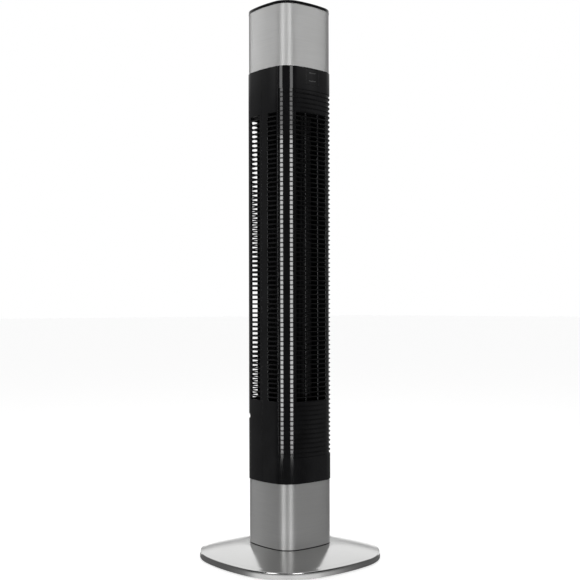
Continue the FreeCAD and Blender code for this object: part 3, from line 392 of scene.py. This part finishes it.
STEEL = (0.66, 0.66, 0.655)
BLACK = (0.0035, 0.0035, 0.0038)
MATERIALS = {
    "band": brushed_steel("band_steel", STEEL, 0.56),
    "plate": brushed_steel("plate_steel", STEEL, 0.17, along_x=True, anisotropy=0.2, turn=0.0),
    "zinc_steel": cast_metal("zinc", (0.55, 0.55, 0.53), 0.32, 1500.0, 0.1),
    "black_satin": moulded("satin_black", BLACK, 0.07, 1400.0, 0.02, gloss_change=0.012),
    # Painted shade: the fins are the same black plastic as the grille wall, and this darker copy of it stands
    # in for the shade and dark reflections that make them look dark.
    "shaded_fin_black": moulded("shaded_fin_black", (0.003, 0.003, 0.0032), 0.09, 1400.0, 0.02, gloss_change=0.012),
    "black_gloss": moulded("gloss_black", (0.006, 0.006, 0.007), 0.10, 60.0, 0.01),
    "dark_plastic": moulded("dark_moulding", (0.035, 0.035, 0.037), 0.5, 1100.0, 0.12),
    "duct_plastic": moulded("duct_moulding", (0.014, 0.014, 0.015), 0.55, 1000.0, 0.12),
    "impeller_plastic": moulded("impeller_moulding", (0.012, 0.012, 0.013), 0.5, 1300.0, 0.1),
    "grey_plastic": moulded("gear_grey", (0.35, 0.36, 0.37), 0.42, 1200.0, 0.06, 0.1),
    "white_plastic": moulded("gear_white", (0.78, 0.77, 0.74), 0.4, 1200.0, 0.06, 0.06),
    "ballast_steel": cast_metal("ballast", (0.12, 0.12, 0.13), 0.55, 350.0, 0.4),
    "hub_metal": cast_metal("die_casting", (0.52, 0.52, 0.54), 0.45, 700.0, 0.35),
    "shaft_steel": brushed_steel("ground_shaft", (0.64, 0.64, 0.64), 0.3, anisotropy=0.5),
    "lamination": layered("laminations", (0.16, 0.16, 0.18), 0.45, 0.6 * MM, 0.8),
    "copper": layered("enamelled_copper", (0.62, 0.26, 0.11), 0.3, 0.9 * MM, 0.7),
    "bronze": cast_metal("sintered_bronze", (0.50, 0.36, 0.18), 0.4, 900.0, 0.3),
    "rubber": moulded("black_rubber", (0.018, 0.018, 0.018), 0.72, 700.0, 0.25),
    "board": moulded("board_laminate", (0.02, 0.12, 0.05), 0.4, 500.0, 0.05),
    "component": moulded("component_sleeve", (0.03, 0.05, 0.14), 0.35, 400.0, 0.04),
    "smoked": moulded("smoked_window", BLACK, 0.07, 1400.0, 0.02, gloss_change=0.012),
    "light": moulded("light_bar", (0.62, 0.66, 0.70), 0.3, 800.0, 0.05, 0.05),
    "switch": moulded("switch_case", (0.04, 0.04, 0.05), 0.35, 900.0, 0.06),
    "print": moulded("printed_grey", (0.30, 0.30, 0.31), 0.4, 900.0, 0.03, 0.1),
    "mark": moulded("display_grey", (0.20, 0.20, 0.203), 0.35, 900.0, 0.03, 0.1),
}
MATERIALS["brushed_steel"] = MATERIALS["band"]
# Painted shade: a lower specular level dims the fins' reflections, so that they look darker than the wall of
# the same plastic.
FIN_SHADE_SPECULAR = 0.16
shaded_fin_shader = MATERIALS["shaded_fin_black"].node_tree.nodes["Principled BSDF"]
shaded_fin_shader.inputs["Specular IOR Level"].default_value = FIN_SHADE_SPECULAR


# ---------------------------------------------------------------- bands, cap and base plate
def band(name, node):
    low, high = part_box(node)
    inner = BAND_INSET + BAND_WALL
    profile = [(inner, low.z)] + rounded(BAND_INSET, low.z, BAND_EDGE_R, 1)[::-1]
    profile += rounded(BAND_INSET, high.z, BAND_EDGE_R, -1) + [(inner, high.z)]
    piece = lathe(name, [shape_ring(BODY_SHAPE, inset, z) for inset, z in profile], MATERIALS["band"])
    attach(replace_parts(piece, node), "tower")


PLATE_SHEET = 1.2 * MM
PLATE_RIM_TOP = 14.3 * MM
PLATE_EDGE_R = 2.2 * MM
PLATE_LIP_R = 0.3 * MM  # the small rounding at the rim's foot
PLATE_EDGE_SHARE = 0.9  # the rim's rounding takes this share of its radius inward
PLATE_HOLE = 36.0 * MM  # the hub's hole starts this far inside the crown's outline
UNDERSIDE_REACH = 0.985  # of the way from the crown to the rim
DOME_STEPS = 14
DOME_POWER = 1.5


def dome_shape(t):
    """The plate's shape between the crown (t = 0) and the rim (t = 1)."""
    return tuple(c + (r - c) * t for c, r in zip(CROWN, RIM))


def dome_rings(shares, inset, top):
    """Rings down the dome, at these shares of the way from the crown to the rim."""
    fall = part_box("base_cover")[1].z - PLATE_RIM_TOP
    return [shape_ring(dome_shape(t), inset, top - fall * t**DOME_POWER) for t in shares]


def base_plate():
    low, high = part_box("base_cover")
    rings = [shape_ring(RIM, PLATE_LIP_R, low.z), shape_ring(RIM, 0.0, low.z + PLATE_LIP_R)]
    rings.append(shape_ring(RIM, 0.0, (low.z + PLATE_RIM_TOP) / 2))
    for i in range(7):
        a = math.pi / 2 * i / 6
        inset = PLATE_EDGE_R * (1 - math.cos(a)) * PLATE_EDGE_SHARE
        rings.append(shape_ring(RIM, inset, PLATE_RIM_TOP - PLATE_EDGE_R + PLATE_EDGE_R * math.sin(a)))
    first = 1 - PLATE_EDGE_R / (PLATE_HALF - CROWN[0])
    rings += dome_rings([first * (1 - i / DOME_STEPS) for i in range(1, DOME_STEPS + 1)], 0.0, high.z)
    hole_edge = [(30.0 * MM, 0.0), (PLATE_HOLE - 0.4 * MM, 0.05 * MM), (PLATE_HOLE, 0.4 * MM)]
    for inset, drop in hole_edge + [(PLATE_HOLE, PLATE_SHEET)]:
        rings.append(shape_ring(CROWN, inset, high.z - drop))
    under = [i / DOME_STEPS * UNDERSIDE_REACH for i in range(DOME_STEPS + 1)]
    rings += dome_rings(under, PLATE_SHEET / 2, high.z - PLATE_SHEET)
    rings.append(shape_ring(RIM, PLATE_SHEET, PLATE_RIM_TOP - 2 * PLATE_SHEET))
    rings.append(shape_ring(RIM, PLATE_SHEET, low.z))
    piece = lathe("base_plate_cover", rings, MATERIALS["plate"])
    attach(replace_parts(piece, "base_cover"), "base")


# ---------------------------------------------------------------- black body
def slot_levels(height):
    levels = []
    for row in range(SLOT_ROWS):
        z = TOP_FIN_Z - FIN_PITCH * (FIRST_SLOT_ROW + row) - FIN_PITCH / 2
        levels.append((z - height / 2, z + height / 2))
    return levels


def skin(
    name, breaks, openings=(), levels=(), z_range=BODY_Z, extra_z=(), inset=0.0, wall=SHELL_WALL, shape=None,
):
    """A wall from the first to the last break angle, open where an opening's angles cross a level."""
    angles = filled(breaks)
    zs = sorted({round(z, 7) for z in [*z_range, *extra_z, *[z for pair in levels for z in pair]]})
    vertices = []
    for z in zs:
        for a in angles:
            p, n = body_point(a)
            spot = Vector((p.x - n.x * inset, p.y - n.y * inset, z))
            vertices.append(shape(spot) if shape else spot)
    count = len(angles)
    faces = []
    for j in range(len(zs) - 1):
        middle_z = (zs[j] + zs[j + 1]) / 2
        in_row = any(low < middle_z < high for low, high in levels)
        for i in range(count - 1):
            middle = (angles[i] + angles[i + 1]) / 2
            if in_row and any(a < middle < b for a, b in openings):
                continue
            faces.append((j * count + i, j * count + i + 1, (j + 1) * count + i + 1, (j + 1) * count + i))
    piece = new_mesh(name, vertices, faces, MATERIALS["black_satin"])
    thick = piece.modifiers.new("wall", "SOLIDIFY")
    thick.thickness = wall
    thick.offset = -1.0
    thick.use_even_offset = False
    bevel = piece.modifiers.new("edges", "BEVEL")
    bevel.width = SLOT_EDGE_BEVEL
    bevel.segments = 2
    bevel.limit_method = "ANGLE"
    bevel.angle_limit = math.radians(40)
    bevel.harden_normals = True
    return applied(piece)


def tower_piece(piece, node):
    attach(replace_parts(piece, node), "tower")


FIN_STEP = 2.6 * MM
FIN_END_REACH = 0.9  # a rib is a little lower and thinner at its two ends
FIN_END_THICKNESS = 0.85
FIN_ROOT = 0.5 * MM  # how far a rib reaches into the wall behind it


def fins():
    """The ribs round the front: one closed, round-nosed profile along the outline, at every pitch."""
    end = angle_at_y(GRILLE_EDGE_Y)
    angles = filled([-end, 0.0, end], FIN_STEP)
    nose = []
    for i in range(7):
        a = math.pi * (i / 6 - 0.5)
        nose.append((FIN_PROUD - FIN_NOSE * (1 - math.cos(a)), FIN_HALF_THICKNESS * math.sin(a)))
    root = -RIB_WALL_INSET - FIN_ROOT
    profile = [(root, -FIN_HALF_THICKNESS)] + nose + [(root, FIN_HALF_THICKNESS)]
    vertices = []
    faces = []
    size = len(profile)
    for k in range(FIN_COUNT):
        z = TOP_FIN_Z - FIN_PITCH * k
        start = len(vertices)
        for index, a in enumerate(angles):
            p, n = body_point(a)
            at_end = index in (0, len(angles) - 1)
            for out, up in profile:
                reach = -RIB_WALL_INSET + (out + RIB_WALL_INSET) * (FIN_END_REACH if at_end else 1.0)
                rise = up * (FIN_END_THICKNESS if at_end else 1.0)
                vertices.append((p.x + n.x * reach, p.y + n.y * reach, z + rise))
        for i in range(len(angles) - 1):
            for j in range(size):
                m = (j + 1) % size
                a0 = start + i * size
                faces.append((a0 + j, a0 + size + j, a0 + size + m, a0 + m))
        faces.append(tuple(start + j for j in range(size)))
        last = start + (len(angles) - 1) * size
        faces.append(tuple(last + j for j in reversed(range(size))))
    return new_mesh("grille_fins", vertices, faces, MATERIALS["shaded_fin_black"], 50.0)


LENS_GAP = 0.2 * MM


def front_grille():
    end = angle_at_y(GRILLE_EDGE_Y)
    slots = [(angle_at_x(a * MM), angle_at_x(b * MM)) for a, b in FRONT_SLOTS]
    lens_low, lens_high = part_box("display_lens")
    lens = (angle_at_x(lens_low.x - LENS_GAP), angle_at_x(lens_high.x + LENS_GAP))
    breaks = sorted([-end, end, *[a for pair in slots for a in pair]])
    rows = slot_levels(SLOT_HEIGHT)
    wall = skin("grille_wall", breaks, slots, rows, RIB_ZONE, inset=RIB_WALL_INSET, wall=RIB_WALL)
    foot = skin("grille_foot", [-end, 0, end], z_range=(BODY_Z[0], RIB_ZONE[0]))
    lens_rows = [(lens_low.z - LENS_GAP, lens_high.z + LENS_GAP)]
    head = skin("grille_head", [-end, *lens, end], [lens], lens_rows, (RIB_ZONE[1], BODY_Z[1]))
    ribs = fins()
    tower_piece(wall, "front_grille")
    for piece in (foot, head, ribs):
        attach(piece, "tower")


def side_panels():
    for name, flip in (("side_panel_right", 1), ("side_panel_left", -1)):
        low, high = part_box(name)
        edges = [angle_at_y(y) for y in (low.y, SIDE_SLOT[0] * MM, SIDE_SLOT[1] * MM, high.y)]
        opening = (edges[1], edges[2])
        if flip < 0:
            edges = [-a for a in reversed(edges)]
            opening = (-opening[1], -opening[0])
        piece = skin(name + "_shell", edges, [opening], slot_levels(SLOT_HEIGHT))
        tower_piece(piece, name)


def grip_groove(spot):
    """Pushes a point of the rear shell in where the finger groove crosses a rear corner."""
    across = spot.z - GRIP_Z
    if abs(across) >= GRIP_R or spot.y < 0:
        return spot
    centre = corner_centre(BODY_HALF, CORNER_R, BOW)
    reach = centre * math.sqrt(2) + CORNER_R + GRIP_OUT
    way = Vector((math.copysign(1, spot.x), 1, 0)).normalized()
    limit = reach - math.sqrt(GRIP_R**2 - across**2)
    over = spot.dot(way) - limit
    return spot - way * over if over > 0 else spot


def rear_shell():
    start = angle_at_y(BODY[0].y)
    side = [angle_at_y(y * MM) for y in REAR_SIDE_SLOT]
    back = [sorted((angle_at_x(a * MM, True), angle_at_x(b * MM, True))) for a, b in REAR_SLOTS]
    openings = [tuple(side)] + [tuple(b) for b in back] + [(2 * math.pi - side[1], 2 * math.pi - side[0])]
    breaks = sorted([start, 2 * math.pi - start] + [a for pair in openings for a in pair])
    groove = [GRIP_Z + GRIP_R * i / GRIP_STEPS for i in range(-GRIP_STEPS - 1, GRIP_STEPS + 2)]
    rows = slot_levels(REAR_SLOT_HEIGHT)
    piece = skin("rear_shell_skin", breaks, openings, rows, extra_z=groove, shape=grip_groove)
    tower_piece(piece, "rear_shell")


# ---------------------------------------------------------------- display window and keys
def on_front(x, inset, z):
    """A point on the front at this x, this far inside the outline."""
    p, n = body_point(angle_at_x(x))
    return (p.x - n.x * inset, p.y - n.y * inset, z)


PLATE_COLUMN = 1.5 * MM
PLATE_SHARP_DEG = 15.0


def front_plate(name, x0, x1, z0, z1, inset, depth, material, round_r):
    """A thin plate that follows the bow of the front, with rounded edges."""
    columns = max(2, math.ceil((x1 - x0) / PLATE_COLUMN))
    layers = [(inset + depth, 0.0), (inset + round_r, 0.0), (inset + 0.3 * round_r, 0.3 * round_r)]
    layers.append((inset, round_r))
    rings = []
    for back, shrink in layers:
        xs = [x0 + shrink + (x1 - x0 - 2 * shrink) * i / columns for i in range(columns + 1)]
        low = [on_front(x, back, z0 + shrink) for x in xs]
        high = [on_front(x, back, z1 - shrink) for x in reversed(xs)]
        rings.append(low + high)
    size = len(rings[0])
    start = (len(rings) - 1) * size
    vertices = [v for ring in rings for v in ring]
    faces = ring_faces(rings, close=False)
    for i in range(columns):
        faces.append((start + i, start + i + 1, start + size - 2 - i, start + size - 1 - i))
        faces.append((i + 1, i, size - 1 - i, size - 2 - i))
    return new_mesh(name, vertices, faces, material, PLATE_SHARP_DEG)


DISPLAY_BARS = 6
BAR_HEIGHT = 1.0 * MM
BAR_LENGTH = 0.72  # of the pitch between two bars
BAR_STAGGER = 0.5 * MM  # every second bar stands higher by this


def display():
    low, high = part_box("display_lens")
    window = front_plate(
        "display_window", low.x, high.x, low.z, high.z,
        0.15 * MM, 1.6 * MM, MATERIALS["smoked"], 0.15 * MM,
    )
    tower_piece(window, "display_lens")
    bars_low, bars_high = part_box("display_lights")
    for row, z in enumerate((bars_low.z, bars_high.z - 1.8 * MM)):
        for i in range(DISPLAY_BARS):
            pitch = (bars_high.x - bars_low.x) / DISPLAY_BARS
            x = bars_low.x + pitch * i
            foot = z + BAR_STAGGER * (i % 2)
            mark = front_plate(
                f"display_mark_{row + 1}_{i + 1}", x, x + BAR_LENGTH * pitch, foot, foot + BAR_HEIGHT,
                0.10 * MM, 0.08 * MM, MATERIALS["mark"], 0.02 * MM,
            )
            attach(mark, "tower")


KEY_R = 5.3 * MM
KEY_STEPS = 56
KEY_EDGE_R = 0.6 * MM
KEY_DISH = 0.25 * MM
STEM_R = 1.6 * MM
STEM_LENGTH = 2.2 * MM
FLANGE_THICKNESS = 1.5 * MM
FLANGE_EDGE = 0.2 * MM


def turned_key(name, node, body):
    """The key with a shallow dish in its top, a rounded edge, its flange and its stem."""
    low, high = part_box(node)
    x, y = (low.x + high.x) / 2, (low.y + high.y) / 2
    flange_r = (high.x - low.x) / 2
    flange_z = low.z + STEM_LENGTH
    flange_top = flange_z + FLANGE_THICKNESS
    profile = [(0.4 * MM, low.z), (STEM_R - 0.3 * MM, low.z), (STEM_R, low.z + 0.3 * MM), (STEM_R, flange_z)]
    profile += [(flange_r - FLANGE_EDGE, flange_z), (flange_r, flange_z + FLANGE_EDGE)]
    profile += [(flange_r, flange_top - FLANGE_EDGE), (flange_r - FLANGE_EDGE, flange_top)]
    profile.append((KEY_R, flange_top))
    for i in range(6):
        a = math.pi / 2 * i / 5
        profile.append((KEY_R - KEY_EDGE_R * (1 - math.cos(a)), high.z - KEY_EDGE_R * (1 - math.sin(a))))
    for i in range(1, 7):
        r = (KEY_R - KEY_EDGE_R - 0.3 * MM) * (1 - i / 6)
        profile.append((max(r, 0.2 * MM), high.z - KEY_DISH * (1 - (r / KEY_R) ** 2)))
    rings = [circle(x, y, r, z) for r, z in profile]
    piece = lathe(name, rings, MATERIALS["black_satin"], close=False, smooth_deg=30)
    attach(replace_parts(piece, node), body)
    return x, y, high.z - KEY_DISH


def arc(radius, start, end, steps=20, x=0.0, y=0.0):
    angles = [math.radians(start + (end - start) * i / steps) for i in range(steps + 1)]
    return [(x + radius * math.cos(a), y + radius * math.sin(a)) for a in angles]


ICONS = {  # the strokes on each key, as (x, y) points in millimetres from its centre
    "power": [arc(2.0, 125, 415), [(0, 0.6), (0, 2.6)]],
    "speed": [[(-1.8, -1.6), (-1.8, -0.4)], [(0, -1.6), (0, 0.6)], [(1.8, -1.6), (1.8, 1.8)]],
    "swing": [arc(2.4, 215, 325, x=0, y=1.2), [(-2.3, 0.9), (-2.0, -0.2), (-0.9, 0.0)],
              [(2.3, 0.9), (2.0, -0.2), (0.9, 0.0)]],
    "timer": [arc(2.2, 0, 360), [(0, 1.4), (0, 0), (1.1, 0)]],
    "mode": [[(-2.2 + 0.22 * i, 0.9 * k + 0.5 * math.sin(i * 0.63)) for i in range(21)] for k in (-1, 0, 1)],
}


STROKE_HALF = 0.16 * MM
STROKE_RISE = 0.06 * MM


def icon(name, lines, x, y, z, body):
    """Thin raised strokes on a key, each a ribbon along its line that follows the key's dish."""
    vertices = []
    faces = []
    for line in lines:
        points = [Vector((a * MM, b * MM)) for a, b in line]
        start = len(vertices)
        for i, p in enumerate(points):
            run = (points[min(i + 1, len(points) - 1)] - points[max(i - 1, 0)]).normalized()
            side = Vector((-run.y, run.x)) * STROKE_HALF
            for spot in (p + side, p - side):
                dish = KEY_DISH * (spot.length / KEY_R) ** 2
                vertices.append((x + spot.x, y + spot.y, z + STROKE_RISE + dish))
            for spot in (p + side, p - side):
                vertices.append((x + spot.x, y + spot.y, z - STROKE_RISE))
        for i in range(len(points) - 1):
            a, b = start + 4 * i, start + 4 * i + 4
            faces += [(a, a + 1, b + 1, b), (a + 3, a + 2, b + 2, b + 3)]
            faces += [(a + 2, a, b, b + 2), (a + 1, a + 3, b + 3, b + 1)]
        end = start + 4 * (len(points) - 1)
        faces += [(start + 2, start + 3, start + 1, start), (end, end + 1, end + 3, end + 2)]
    piece = new_mesh(name, vertices, faces, MATERIALS["print"])
    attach(piece, body)


def keys():
    for name, lines in ICONS.items():
        x, y, z = turned_key(f"{name}_key_cap", f"{name}_key", f"{name}_button")
        icon(f"{name}_key_icon", lines, x, y, z, f"{name}_button")


KEY_RING = ((7.3, 0.0), (7.2, 0.10), (7.0, 0.14), (6.8, 0.10), (6.7, 0.0))  # radius and rise, millimetres


def key_rings():
    """A thin ring round each key, proud of the sunk panel."""
    sheet_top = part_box("panel_sheet")[1].z
    for name in ICONS:
        low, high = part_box(f"{name}_key")
        x, y = (low.x + high.x) / 2, (low.y + high.y) / 2
        rings = [circle(x, y, r * MM, sheet_top + rise * MM) for r, rise in KEY_RING]
        piece = lathe(f"{name}_key_ring", rings, MATERIALS["print"])
        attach(piece, "tower")


# ---------------------------------------------------------------- the rest of the CAD nodes
def finish_nodes():
    slots = {part["node"]: part["material_slot"] for part in frame["record"]["subparts"]}
    for name, node in frame["nodes"].items():
        node.data.materials.clear()
        node.data.materials.append(MATERIALS[slots[name]])
        node.data.shade_smooth()
        node.data.set_sharp_from_angle(angle=math.radians(30))


# ---------------------------------------------------------------- stage
def area_light(name, location, target, size, watts):
    data = bpy.data.lights.new(name, "AREA")
    data.shape = "RECTANGLE"
    data.size, data.size_y = size
    data.energy = watts
    lamp = bpy.data.objects.new(name, data)
    bpy.context.scene.collection.objects.link(lamp)
    lamp.location = location
    lamp.rotation_euler = (Vector(target) - Vector(location)).to_track_quat("-Z", "Y").to_euler()
    lamp.visible_camera = False
    return lamp


CAMERA_AZIMUTH = math.radians(-40.7)
CAMERA_DISTANCE = 1.9443
CAMERA_HEIGHT = 0.494
CAMERA_ROLL = math.radians(0.125)
SENSOR_WIDTH = 36.0
LENS = 60.75
CAMERA_SHIFT = (0.0011, 0.02955)
FLOOR_HALF = 40.0
FLOOR_GLOW = 0.72


def around_camera(degrees, distance, height):
    """A place at an angle from the camera's side of the object; positive is to the camera's right."""
    a = CAMERA_AZIMUTH + math.radians(degrees)
    return Vector((math.sin(a) * distance, -math.cos(a) * distance, height))


def make_camera():
    data = bpy.data.cameras.new("camera")
    data.sensor_width = SENSOR_WIDTH
    data.lens = LENS
    data.shift_x, data.shift_y = CAMERA_SHIFT
    camera = bpy.data.objects.new("camera", data)
    bpy.context.scene.collection.objects.link(camera)
    camera.location = around_camera(0, CAMERA_DISTANCE, CAMERA_HEIGHT)
    camera.rotation_euler = (math.pi / 2, CAMERA_ROLL, CAMERA_AZIMUTH)
    bpy.context.scene.camera = camera


def make_floor():
    corners = [(x * FLOOR_HALF, y * FLOOR_HALF, 0) for x, y in ((-1, -1), (1, -1), (1, 1), (-1, 1))]
    mesh = bpy.data.meshes.new("floor")
    mesh.from_pydata(corners, [], [(0, 1, 2, 3)])
    floor = bpy.data.objects.new("floor", mesh)
    bpy.context.scene.collection.objects.link(floor)
    material, _, shader = principled("floor_paper", (0.9, 0.9, 0.9), 0.9, specular=0.0)
    shader.inputs["Emission Color"].default_value = (1, 1, 1, 1)
    shader.inputs["Emission Strength"].default_value = FLOOR_GLOW
    mesh.materials.append(material)
    floor.visible_glossy = False
    floor.visible_shadow = False


def world_ramp(tree, value, stops):
    """A brightness that follows a value through (position, brightness) stops."""
    node = tree.nodes.new("ShaderNodeValToRGB")
    elements = node.color_ramp.elements
    elements[0].position, elements[0].color = stops[0][0], (stops[0][1],) * 3 + (1,)
    elements[1].position, elements[1].color = stops[-1][0], (stops[-1][1],) * 3 + (1,)
    for position, brightness in stops[1:-1]:
        elements.new(position).color = (brightness,) * 3 + (1,)
    tree.links.new(value, node.inputs["Fac"])
    return node.outputs["Color"]


def world_mix(tree, factor, low, high):
    node = tree.nodes.new("ShaderNodeMix")
    tree.links.new(factor, node.inputs["Factor"])
    tree.links.new(low, node.inputs["A"])
    tree.links.new(high, node.inputs["B"])
    return node.outputs["Result"]


# Brightness against how far a direction faces the camera: 0 is away, 1 is straight at it. Each zone
# is a range of heights. DEEP is what is reflected from far below, under GROUND.
BELT = [(0.0, 0.12), (0.3, 0.14), (0.42, 0.12), (0.55, 0.12), (0.68, 0.03), (1.0, 0.01)]
SHOULDER = [(0.0, 0.9), (0.3, 0.35), (0.5, 0.2), (0.58, 0.5), (0.72, 0.3), (0.85, 0.04), (1.0, 0.02)]
CEILING = [(0.0, 1.1), (0.25, 0.8), (0.38, 0.12), (0.6, 0.04), (1.0, 0.02)]
GROUND = [
    (0.0, 0.15), (0.3, 0.14), (0.42, 0.13), (0.55, 0.22), (0.66, 0.5), (0.76, 0.95), (0.97, 1.1), (1.0, 0.8),
]
DEEP = [(0.0, 0.5), (0.4, 0.1), (0.6, 0.03), (1.0, 0.02)]
# Where one zone gives way to the next, as heights above 0.5, the horizon.
HORIZON = 0.5
SHOULDER_EDGE = (0.10, 0.125)
CEILING_EDGE = (0.125, 0.145)
GROUND_EDGE = (-0.12, -0.09)
DEEP_EDGE = (-0.20, -0.17)


def zone_edge(tree, level, edge, ends):
    """A factor that goes from one of the two ends to the other across a zone's edge."""
    return world_ramp(tree, level, [(HORIZON + height, value) for height, value in zip(edge, ends)])


def make_world():
    """White to the eye. Reflections see a dim belt round the horizon, a bright shoulder above it, a
    ceiling that is bright only behind the object, the ground, brightest in front, and under the ground
    a depth that is dark except behind the object."""
    world = bpy.data.worlds.new("studio")
    bpy.context.scene.world = world
    world.use_nodes = True
    tree = world.node_tree
    nodes, links = tree.nodes, tree.links
    nodes.clear()
    place = nodes.new("ShaderNodeTexCoord")
    toward = nodes.new("ShaderNodeVectorMath")
    toward.operation = "DOT_PRODUCT"
    toward.inputs[1].default_value = around_camera(0, 1.0, 0.0)
    links.new(place.outputs["Generated"], toward.inputs[0])
    side = nodes.new("ShaderNodeMapRange")
    side.inputs["From Min"].default_value = -1.0
    links.new(toward.outputs["Value"], side.inputs["Value"])
    facing = side.outputs["Result"]
    parts = nodes.new("ShaderNodeSeparateXYZ")
    links.new(place.outputs["Generated"], parts.inputs["Vector"])
    height = nodes.new("ShaderNodeMapRange")
    height.inputs["From Min"].default_value = -1.0
    links.new(parts.outputs["Z"], height.inputs["Value"])
    level = height.outputs["Result"]
    upward, downward = (0.0, 1.0), (1.0, 0.0)
    total = world_ramp(tree, facing, BELT)
    for stops, edge, ends in (
        (SHOULDER, SHOULDER_EDGE, upward),
        (CEILING, CEILING_EDGE, upward),
        (GROUND, GROUND_EDGE, downward),
        (DEEP, DEEP_EDGE, downward),
    ):
        total = world_mix(tree, zone_edge(tree, level, edge, ends), total, world_ramp(tree, facing, stops))
    reflected = nodes.new("ShaderNodeBackground")
    reflected.inputs["Color"].default_value = (1, 1, 1, 1)
    links.new(total, reflected.inputs["Strength"])
    seen = nodes.new("ShaderNodeBackground")
    seen.inputs["Color"].default_value = (1, 1, 1, 1)
    path = nodes.new("ShaderNodeLightPath")
    mix = nodes.new("ShaderNodeMixShader")
    links.new(path.outputs["Is Camera Ray"], mix.inputs["Fac"])
    links.new(reflected.outputs["Background"], mix.inputs[1])
    links.new(seen.outputs["Background"], mix.inputs[2])
    output = nodes.new("ShaderNodeOutputWorld")
    links.new(mix.outputs["Shader"], output.inputs["Surface"])


STRIP_WIDTH = 0.75
STRIPS = (  # name, what it lights, degrees from the camera, distance, lower end, upper end, watts
    ("steel_left", "steel", -28.0, 2.6, 0.0, 1.75, 16.0),
    ("steel_right", "steel", 17.0, 2.6, 0.0, 1.75, 15.0),
    ("black_left", "black", -36.5, 2.7, 0.0, 1.75, 14.0),
    ("black_right", "black", 23.5, 2.7, 0.0, 1.75, 14.0),
    ("black_left_near", "black", -36.5, 2.5, -0.15, 1.25, 28.0),
    ("black_right_near", "black", 23.5, 2.5, -0.15, 1.25, 28.0),
)
FILLS = {  # degrees from the camera, width, watts; they light the steel sleeves
    "fill_left": (-84.0, 2.65, 12.0),
    "fill_front": (-5.0, 1.2, 5.0),
    "fill_right": (68.0, 2.2, 11.0),
}
FILL_DISTANCE = 1.7
FILL_LENGTH = 0.9
FILL_RAISED = 0.35  # above the sleeve that it lights
FILLED_SLEEVES = {  # height, share of the watts
    "upper_band_sleeve": (1.0, 1.0),
    "lower_band_sleeve": (0.12, 0.38),
}
BACKDROP_DISTANCE = 2.2
BACKDROP_HEIGHT = -0.09
BACKDROP_SIZE = (4.0, 0.82)
BACKDROP_WATTS = 15.0
OVERHEAD_HEIGHT = 2.8
OVERHEAD_SIZE = (2.4, 2.4)
OVERHEAD_WATTS = 15.0


def pieces_in(name, *materials):
    """A collection of the pieces made of these materials, for a lamp that lights nothing else."""
    group = bpy.data.collections.new(name)
    wanted = [MATERIALS[key] for key in materials]
    for thing in bpy.context.scene.objects:
        if thing.type == "MESH" and thing.data.materials and thing.data.materials[0] in wanted:
            group.objects.link(thing)
    return group


def only(piece):
    """A collection of one piece, by name, for a lamp that lights nothing else."""
    group = bpy.data.collections.new(piece + "_alone")
    group.objects.link(bpy.data.objects[piece])
    return group


def make_lights():
    lit = {
        "black": pieces_in("black_pieces", "black_satin", "shaded_fin_black", "smoked"),
        "steel": pieces_in("steel_pieces", "band", "plate"),
    }
    for name, group, angle, distance, low, high, watts in STRIPS:
        middle = (low + high) / 2
        spot = around_camera(angle, distance, middle)
        lamp = area_light(name, spot, (0, 0, middle), (STRIP_WIDTH, high - low), watts)
        lamp.light_linking.receiver_collection = lit[group]
    for piece, (height, share) in FILLED_SLEEVES.items():
        for name, (angle, width, watts) in FILLS.items():
            spot = around_camera(angle, FILL_DISTANCE, height + FILL_RAISED)
            lamp = area_light(f"{name}_{piece}", spot, (0, 0, height), (width, FILL_LENGTH), watts * share)
            lamp.light_linking.receiver_collection = only(piece)
    spot = around_camera(180, BACKDROP_DISTANCE, BACKDROP_HEIGHT)
    lamp = area_light("backdrop", spot, (0, 0, 0), BACKDROP_SIZE, BACKDROP_WATTS)
    lamp.light_linking.receiver_collection = only("base_plate_cover")
    area_light("overhead", (0, 0, OVERHEAD_HEIGHT), (0, 0, 0), OVERHEAD_SIZE, OVERHEAD_WATTS)


# ---------------------------------------------------------------- scene
finish_nodes()
band("lower_band_sleeve", "lower_band")
band("upper_band_sleeve", "upper_band")
base_plate()
front_grille()
side_panels()
rear_shell()
display()
keys()
key_rings()
bpy.context.scene.view_settings.view_transform = "Standard"
make_camera()
make_floor()
make_world()
make_lights()

bpy.context.view_layer.update()
